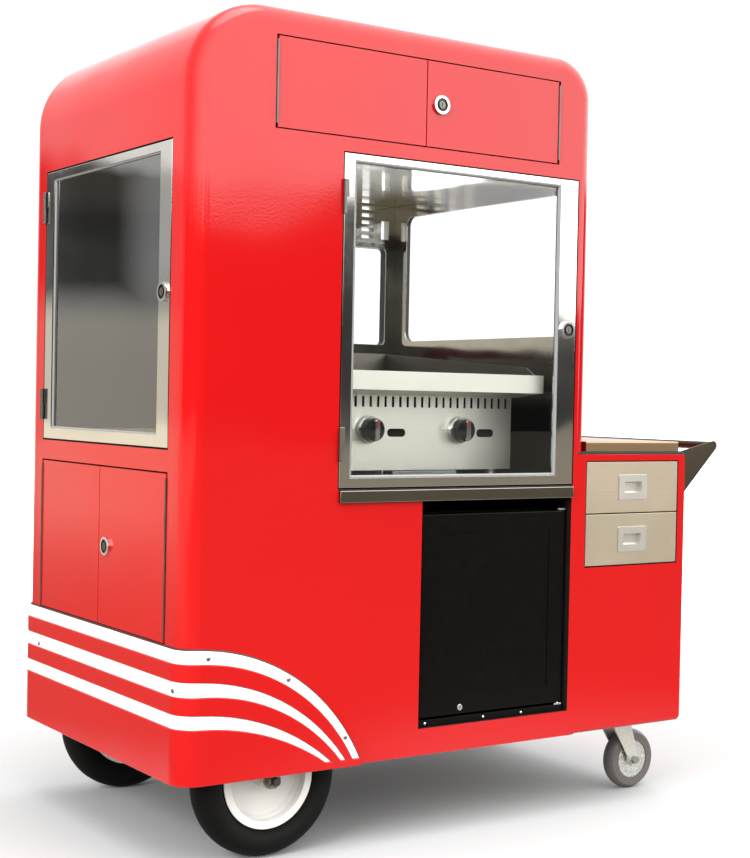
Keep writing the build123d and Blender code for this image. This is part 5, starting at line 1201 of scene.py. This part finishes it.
@dataclass
class Griddle:
    """Gas griddle with its control knobs."""

    tools: Workshop
    barrel: Span = (0.27, 0.80)
    pointer_reach: float = 0.72
    pointer_width: float = 7.0 * MM
    pointer_length: float = 13.0 * MM
    pointer_thickness: float = 0.8 * MM
    screw_offset: float = 44.0 * MM
    screw_rise: float = 2.0 * MM
    screw_seat: float = 1.0 * MM
    screw_scale: float = 0.8
    sheet: float = 2.0 * MM
    plate_edge: float = 1.0 * MM

    def build(self) -> None:
        """Dress the griddle's nodes, add the knobs' details and the screws beside them."""
        self.dark_inside(dressed("griddle_body", GRIDDLE_FRONT, Edge.FOLDED))
        dressed("griddle_plate", GRIDDLE_STEEL, Edge.PRESSED)
        dressed("griddle_feet", ZINC, Edge.TURNED)
        dressed("grease_tray", STEEL_X, Edge.SHEET)
        places = []
        for side in ("left", "right"):
            low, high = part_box(f"knob_{side}")
            centre = (low + high) / 2
            self.knob(side, low, high)
            self.pointer(side, Vector((centre.x, low.y, centre.z)), (high.x - low.x) / 2)
            seat = high.y + self.screw_seat
            places.append((centre.x - self.screw_offset, seat, centre.z + self.screw_rise))
        self.tools.screw_row("griddle_screws", places, (0, -1, 0), CHROME, self.screw_scale)

    def dark_inside(self, body: Thing) -> None:
        """Blacken the inside of the griddle's body, which shows through its slots.

        Args:
            body: The dressed body.
        """
        low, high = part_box("griddle_plate")
        near = (low.x + self.plate_edge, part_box("knob_left")[1].y + self.sheet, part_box("griddle_feet")[1].z)
        far = (high.x - self.plate_edge, high.y - self.plate_edge, low.z + self.plate_edge)
        repaint(body, FRAME_PAINT, near, far)

    def knob(self, side: str, low: Vector, high: Vector) -> None:
        """Dress one knob in chrome, with a black barrel.

        Args:
            side: Which knob: left or right.
            low: Lowest corner of its box.
            high: Highest corner of its box.
        """
        mesh = dressed(f"knob_{side}", CHROME, Edge.ROUNDED).data
        mesh.materials.append(KNOB_BLACK.material())
        for polygon in mesh.polygons:
            if self.barrel[0] < (high.y - polygon.center.y) / (high.y - low.y) < self.barrel[1]:
                polygon.material_index = 1

    def pointer(self, side: str, face: Vector, radius: float) -> None:
        """Set the red pointer on the front of a knob's grip.

        Args:
            side: Which knob: left or right.
            face: Middle of the grip's front.
            radius: The knob's radius.
        """
        top = face.z + radius * self.pointer_reach
        base = top - self.pointer_length
        half = self.pointer_width / 2
        outline = [(face.x, top), (face.x + half, base), (face.x - half, base)]
        depths = (face.y - self.pointer_thickness, face.y + self.pointer_thickness)
        points = [(x, y, z) for y in depths for x, z in outline]
        walls = [(0, 3, 4, 1), (1, 4, 5, 2), (2, 5, 3, 0)]
        mesh = bpy.data.meshes.new(f"knob_pointer_{side}")
        mesh.from_pydata(points, [], [(0, 2, 1), (3, 4, 5), *walls])
        mesh.materials.append(KNOB_RED.material())
        mounted(eased(linked(mesh.name, mesh), Edge.MARK), f"{side}_knob", KNOB_RED)


@dataclass
class Fridge:
    """Black under-counter fridge."""

    tools: Workshop
    kick_screws: tuple[Span, ...] = ((25.0, 273.0), (201.0, 272.5), (320.0, 272.0))
    screw_scale: float = 0.9
    gasket: float = 4.0 * MM
    gasket_inset: float = 9.0 * MM
    gasket_sink: float = 0.4
    gasket_corner: float = 6.0 * MM

    def build(self) -> None:
        """Dress the fridge, set the screws of the kick strip and lay the door's gasket."""
        dressed("fridge_cabinet", BLACK, Edge.PRESSED)
        dressed("fridge_door", BLACK, Edge.ROUNDED)
        dressed("fridge_hinges", CHROME, Edge.SHEET)
        dressed("fridge_lock", CHROME, Edge.SHEET)
        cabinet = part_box("fridge_cabinet")[0]
        places = [(cabinet.x + x * MM, cabinet.y, z * MM) for x, z in self.kick_screws]
        self.tools.screw_row("fridge_kick_screws", places, (0, -1, 0), CHROME, self.screw_scale)
        low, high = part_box("fridge_door")
        inset = Vector.Fill(3, self.gasket_inset)
        near, far = low + inset, high - inset
        back = high.y - self.gasket * self.gasket_sink
        round_door = ((near.x, near.z), (far.x, near.z), (far.x, far.z), (near.x, far.z))
        corners = [(x, back, z) for x, z in round_door]
        self.tools.bead("fridge_gasket", "fridge_leaf", corners, self.gasket, self.gasket_corner, TYRE)


@dataclass
class RunningGear:
    """Tube frame, axle, main wheels and casters."""

    journal: float = 10.3 * MM
    slack: float = 0.03

    def build(self) -> None:
        """Dress the frame, wheels and casters."""
        dressed("chassis_frame", FRAME_PAINT, Edge.PRESSED)
        self.slim_journals(dressed("axle", OILED_STEEL, Edge.SHEET))
        dressed("axle_nuts", NUT_STEEL, Edge.TURNED)
        dressed("caster_plates", ZINC, Edge.FOLDED)
        for place in ("front", "back"):
            dressed(f"wheel_{place}", WHITE_PAINT, Edge.MOULDED)
            dressed(f"tyre_{place}", TYRE, Edge.NONE)
            dressed(f"caster_fork_{place}", ZINC, Edge.PRESSED)
            dressed(f"caster_hub_{place}", HUB_ZINC, Edge.FOLDED)
            dressed(f"caster_tread_{place}", TREAD, Edge.NONE)
            dressed(f"caster_bolt_{place}", SCREW_STEEL, Edge.TURNED)

    def slim_journals(self, axle: Thing) -> None:
        """Slim the axle's journals a little, so that the wheels turn freely on them.

        Args:
            axle: The dressed axle.
        """
        low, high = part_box("axle")
        centre = (low + high) / 2
        for vertex in axle.data.vertices:
            out = Vector((vertex.co.x - centre.x, 0.0, vertex.co.z - centre.z))
            if out.length < self.journal:
                vertex.co -= out * self.slack


@dataclass
class Viewpoint:
    """The place that the photograph was taken from."""

    image_width: float = 750.0
    focal_pixels: float = 1564.5
    sensor: float = 36.0
    eye: Point = (-2.3423, -3.4532, 1.0470)
    yaw: float = 33.92
    pitch: float = -1.113
    roll: float = -1.137

    def level(self, turned: float = 0.0) -> Vector:
        """Level direction turned clockwise from the camera's heading by an angle in degrees."""
        angle = math.radians(self.yaw + turned)
        return Vector((math.sin(angle), math.cos(angle), 0.0))

    def build(self) -> None:
        """Set the camera and show colours as they are."""
        pitch, roll = math.radians(self.pitch), math.radians(self.roll)
        ahead = self.level() * math.cos(pitch) + UP * math.sin(pitch)
        level = self.level(90.0)
        down = -level.cross(ahead)
        right = math.cos(roll) * level + math.sin(roll) * down
        up = math.sin(roll) * level - math.cos(roll) * down
        turn = Matrix((right, up, -ahead)).transposed().to_4x4()
        data = bpy.data.cameras.new("photo_camera")
        data.sensor_fit = "HORIZONTAL"
        data.sensor_width = self.sensor
        data.lens = self.focal_pixels * self.sensor / self.image_width
        thing = bpy.data.objects.new("photo_camera", data)
        thing.matrix_world = Matrix.Translation(self.eye) @ turn
        bpy.context.scene.collection.objects.link(thing)
        bpy.context.scene.camera = thing
        view = bpy.context.scene.view_settings
        view.view_transform = "Standard"
        view.look = "None"


@dataclass
class Floor:
    """A plain pale floor, with mats that tone reflections and that the camera doesn't see.

    Each mat is a side in degrees clockwise from the camera's heading, the distances that way where it
    starts and is full, and its colour.
    """

    view: Viewpoint
    size: float = 80.0
    roughness: float = 0.8
    pale_run: Span = (1.0, 6.0)
    pale_tones: Span = (0.36, 0.80)
    fade_run: Span = (2.4, 4.4)
    fade_tones: Span = (0.36, 0.12)
    rise_run: Span = (1.0, 9.0)
    rise_gain: Span = (1.0, 2.0)
    spread: float = 0.3
    mats: tuple[tuple[float, Span, Colour], ...] = (
        (180.0, (0.6, 1.3), (0.11, 0.10, 0.082)), (103.5, (1.1, 2.6), (0.11, 0.10, 0.082)),
        (-103.5, (1.0, 1.7), (0.11, 0.10, 0.082)), (-103.5, (2.4, 9.0), (0.40, 0.365, 0.295)))

    def build(self) -> None:
        """Lay the floor."""
        half = self.size / 2
        mesh = bpy.data.meshes.new("floor")
        corners = [(-half, -half, 0), (half, -half, 0), (half, half, 0), (-half, half, 0)]
        mesh.from_pydata(corners, [], [(0, 1, 2, 3)])
        plane = linked("floor", mesh)
        material = bpy.data.materials.new("studio_floor")
        material.use_nodes = True
        tree = material.node_tree
        shader = tree.nodes["Principled BSDF"]
        place = tree.nodes.new("ShaderNodeTexCoord").outputs["Object"]
        radius = tree.nodes.new("ShaderNodeVectorMath")
        radius.operation = "LENGTH"
        tree.links.new(place, radius.inputs[0])
        pale = ramp(tree, radius.outputs["Value"], self.pale_run, self.pale_tones)
        seen = tree.nodes.new("ShaderNodeLightPath").outputs["Is Camera Ray"]
        tree.links.new(blend(tree, seen, self.mirrored(tree, place), pale), shader.inputs["Base Color"])
        shader.inputs["Specular IOR Level"].default_value = 0.0
        shader.inputs["Roughness"].default_value = self.roughness
        mesh.materials.append(material)

    def mirrored(self, tree: Tree, place: Socket) -> Socket:
        """Colour the floor for reflections: pale near the cart and behind it, with the mats further out.

        Args:
            tree: The floor material's tree.
            place: Object coordinates.

        Returns:
            The colour's socket.
        """
        behind = calc(tree, "MAXIMUM", along(tree, place, self.view.level()), 0.0)
        before = calc(tree, "MAXIMUM", along(tree, place, self.view.level(180.0)), 0.0)
        aside = calc(tree, "ABSOLUTE", along(tree, place, self.view.level(90.0)))
        widened = calc(tree, "MULTIPLY_ADD", behind, self.spread, 1.0)
        beside = calc(tree, "DIVIDE", aside, widened)
        before_squared = calc(tree, "MULTIPLY", before, before)
        away = calc(tree, "SQRT", calc(tree, "MULTIPLY_ADD", beside, beside, before_squared))
        tone = ramp(tree, away, self.fade_run, self.fade_tones)
        colour = calc(tree, "MULTIPLY", tone, ramp(tree, behind, self.rise_run, self.rise_gain))
        for side, run, mat in self.mats:
            beyond = along(tree, place, self.view.level(side))
            colour = blend(tree, ramp(tree, beyond, run, (0.0, 1.0)), colour, mat)
        return colour


@dataclass
class Sky:
    """Soft light from all round, brightest at the key side and overhead, with a white backdrop.

    Seen straight on it is plain white. Glossy surfaces also show a dark border above the floor with a gap
    in it, and beside the closed end a low warm screen with a grey end. Sides are degrees clockwise from the
    camera's heading, edges are degrees from a side, and heights are degrees or sines above level.
    """

    view: Viewpoint
    backdrop_strength: float = 1.25
    backdrop_edge: Span = (60.0, 36.0)
    key_side: float = 112.0
    key_run: Span = (-0.7, 0.7)
    key_strengths: Span = (1.0, 3.8)
    top_heights: Span = (0.88, 0.97)
    top_gain: Span = (1.0, 2.6)
    border_strength: float = 0.05
    border_degrees: Span = (6.7, 7.7)
    border_scale: float = 9.0
    border_detail: float = 4.0
    border_wave: float = 0.06
    gap_side: float = 91.0
    gap_edge: Span = (21.6, 15.2)
    gap_depth: float = 0.065
    screen_side: float = -58.0
    screen_edge: Span = (48.0, 30.0)
    screen_degrees: Span = (2.4, 4.4)
    screen_border: float = -0.012
    screen_strength: float = 0.78
    screen_colour: Colour = (1.0, 0.93, 0.80)
    grey_side: float = -148.0
    grey_run: Span = (0.0, 0.03)
    grey_strength: float = 0.48
    lamp_place: Point = (-5.2, -2.2, 2.9)
    lamp_aim: Point = (-0.8, 0.0, 0.9)
    lamp_size: float = 2.6
    lamp_power: float = 420.0

    def build(self) -> None:
        """Make the world's light and the side light."""
        world = bpy.data.worlds.new("studio_sky")
        world.use_nodes = True
        tree = world.node_tree
        way = tree.nodes.new("ShaderNodeTexCoord").outputs["Generated"]
        height = along(tree, way, UP)
        screen = self.toward(tree, way, self.screen_side, self.screen_edge)
        low_screen = ramp(tree, height, self.sines(self.screen_degrees), (1.0, 0.0))
        lit = calc(tree, "MULTIPLY", screen, low_screen)
        beyond = along(tree, way, self.view.level(self.grey_side))
        grey = calc(tree, "MULTIPLY", screen, ramp(tree, beyond, self.grey_run, (0.0, self.grey_strength)))
        backdrop = self.toward(tree, way, 0.0, self.backdrop_edge)
        seen = tree.nodes.new("ShaderNodeLightPath").outputs["Is Camera Ray"]
        strength = self.dome(tree, way, height, screen)
        for part in (calc(tree, "MULTIPLY", backdrop, self.backdrop_strength),
                     calc(tree, "MULTIPLY", lit, self.screen_strength), grey,
                     calc(tree, "MULTIPLY", seen, self.backdrop_strength)):
            strength = calc(tree, "MAXIMUM", strength, part)
        tinted = calc(tree, "MULTIPLY", lit, calc(tree, "SUBTRACT", 1.0, seen))
        back = tree.nodes["Background"]
        tree.links.new(strength, back.inputs["Strength"])
        tree.links.new(blend(tree, tinted, (1.0, 1.0, 1.0), self.screen_colour), back.inputs["Color"])
        bpy.context.scene.world = world
        self.side_lamp()

    def dome(self, tree: Tree, way: Socket, height: Socket, screen: Socket) -> Socket:
        """Light the sky above the border.

        Args:
            tree: The world's tree.
            way: Direction's socket.
            height: The direction's height above level.
            screen: Mask of the screen's side, where the border stands a little higher.

        Returns:
            The strength's socket.
        """
        wave = calc(tree, "SUBTRACT", noise(tree, way, self.border_scale, self.border_detail), 0.5)
        lifted = calc(tree, "MULTIPLY_ADD", wave, self.border_wave, height)
        gap = self.toward(tree, way, self.gap_side, self.gap_edge)
        lifted = calc(tree, "MULTIPLY_ADD", gap, self.gap_depth, lifted)
        lifted = calc(tree, "MULTIPLY_ADD", screen, self.screen_border, lifted)
        risen = ramp(tree, lifted, self.sines(self.border_degrees), (0.0, 1.0))
        key = ramp(tree, along(tree, way, self.view.level(self.key_side)), self.key_run, self.key_strengths)
        top = ramp(tree, height, self.top_heights, self.top_gain)
        strength = calc(tree, "MULTIPLY", calc(tree, "MULTIPLY", risen, key), top)
        return calc(tree, "MAXIMUM", strength, self.border_strength)

    def toward(self, tree: Tree, way: Socket, side: float, edge: Span) -> Socket:
        """Mask the part of the sky round a level direction.

        Args:
            tree: The world's tree.
            way: Direction's socket.
            side: Degrees clockwise from the camera's heading.
            edge: Degrees from that direction where the mask starts and is full.

        Returns:
            The mask's socket, from 0 to 1.
        """
        far, near = (math.cos(math.radians(angle)) for angle in edge)
        return ramp(tree, along(tree, way, self.view.level(side)), (far, near), (0.0, 1.0))

    @staticmethod
    def sines(degrees: Span) -> Span:
        """Heights of two angles above level."""
        return math.sin(math.radians(degrees[0])), math.sin(math.radians(degrees[1]))

    def side_lamp(self) -> None:
        """Set a large soft light beside the closed end, which glossy surfaces don't mirror."""
        data = bpy.data.lights.new("side_softbox", "AREA")
        data.shape = "SQUARE"
        data.size = self.lamp_size
        data.energy = self.lamp_power
        lamp = bpy.data.objects.new("side_softbox", data)
        lamp.location = self.lamp_place
        aim = Vector(self.lamp_aim) - Vector(self.lamp_place)
        lamp.rotation_euler = aim.to_track_quat("-Z", "Y").to_euler()
        lamp.visible_glossy = False
        bpy.context.scene.collection.objects.link(lamp)


def main() -> None:
    """Build the cart's sub-assemblies in order, then the studio; each piece logs its face count."""
    logging.basicConfig(level=logging.INFO, format="%(message)s")
    tools = Workshop()
    view = Viewpoint()
    builders: list[Callable[[], None]] = [
        RedBody(tools).build, GlassDoors(tools).build, Interior().build, Drawers().build,
        Griddle(tools).build, Fridge(tools).build, RunningGear().build,
        Floor(view).build, Sky(view).build, view.build,
    ]
    for build in builders:
        build()
    tools.clear()


if __name__ == "__main__":
    main()
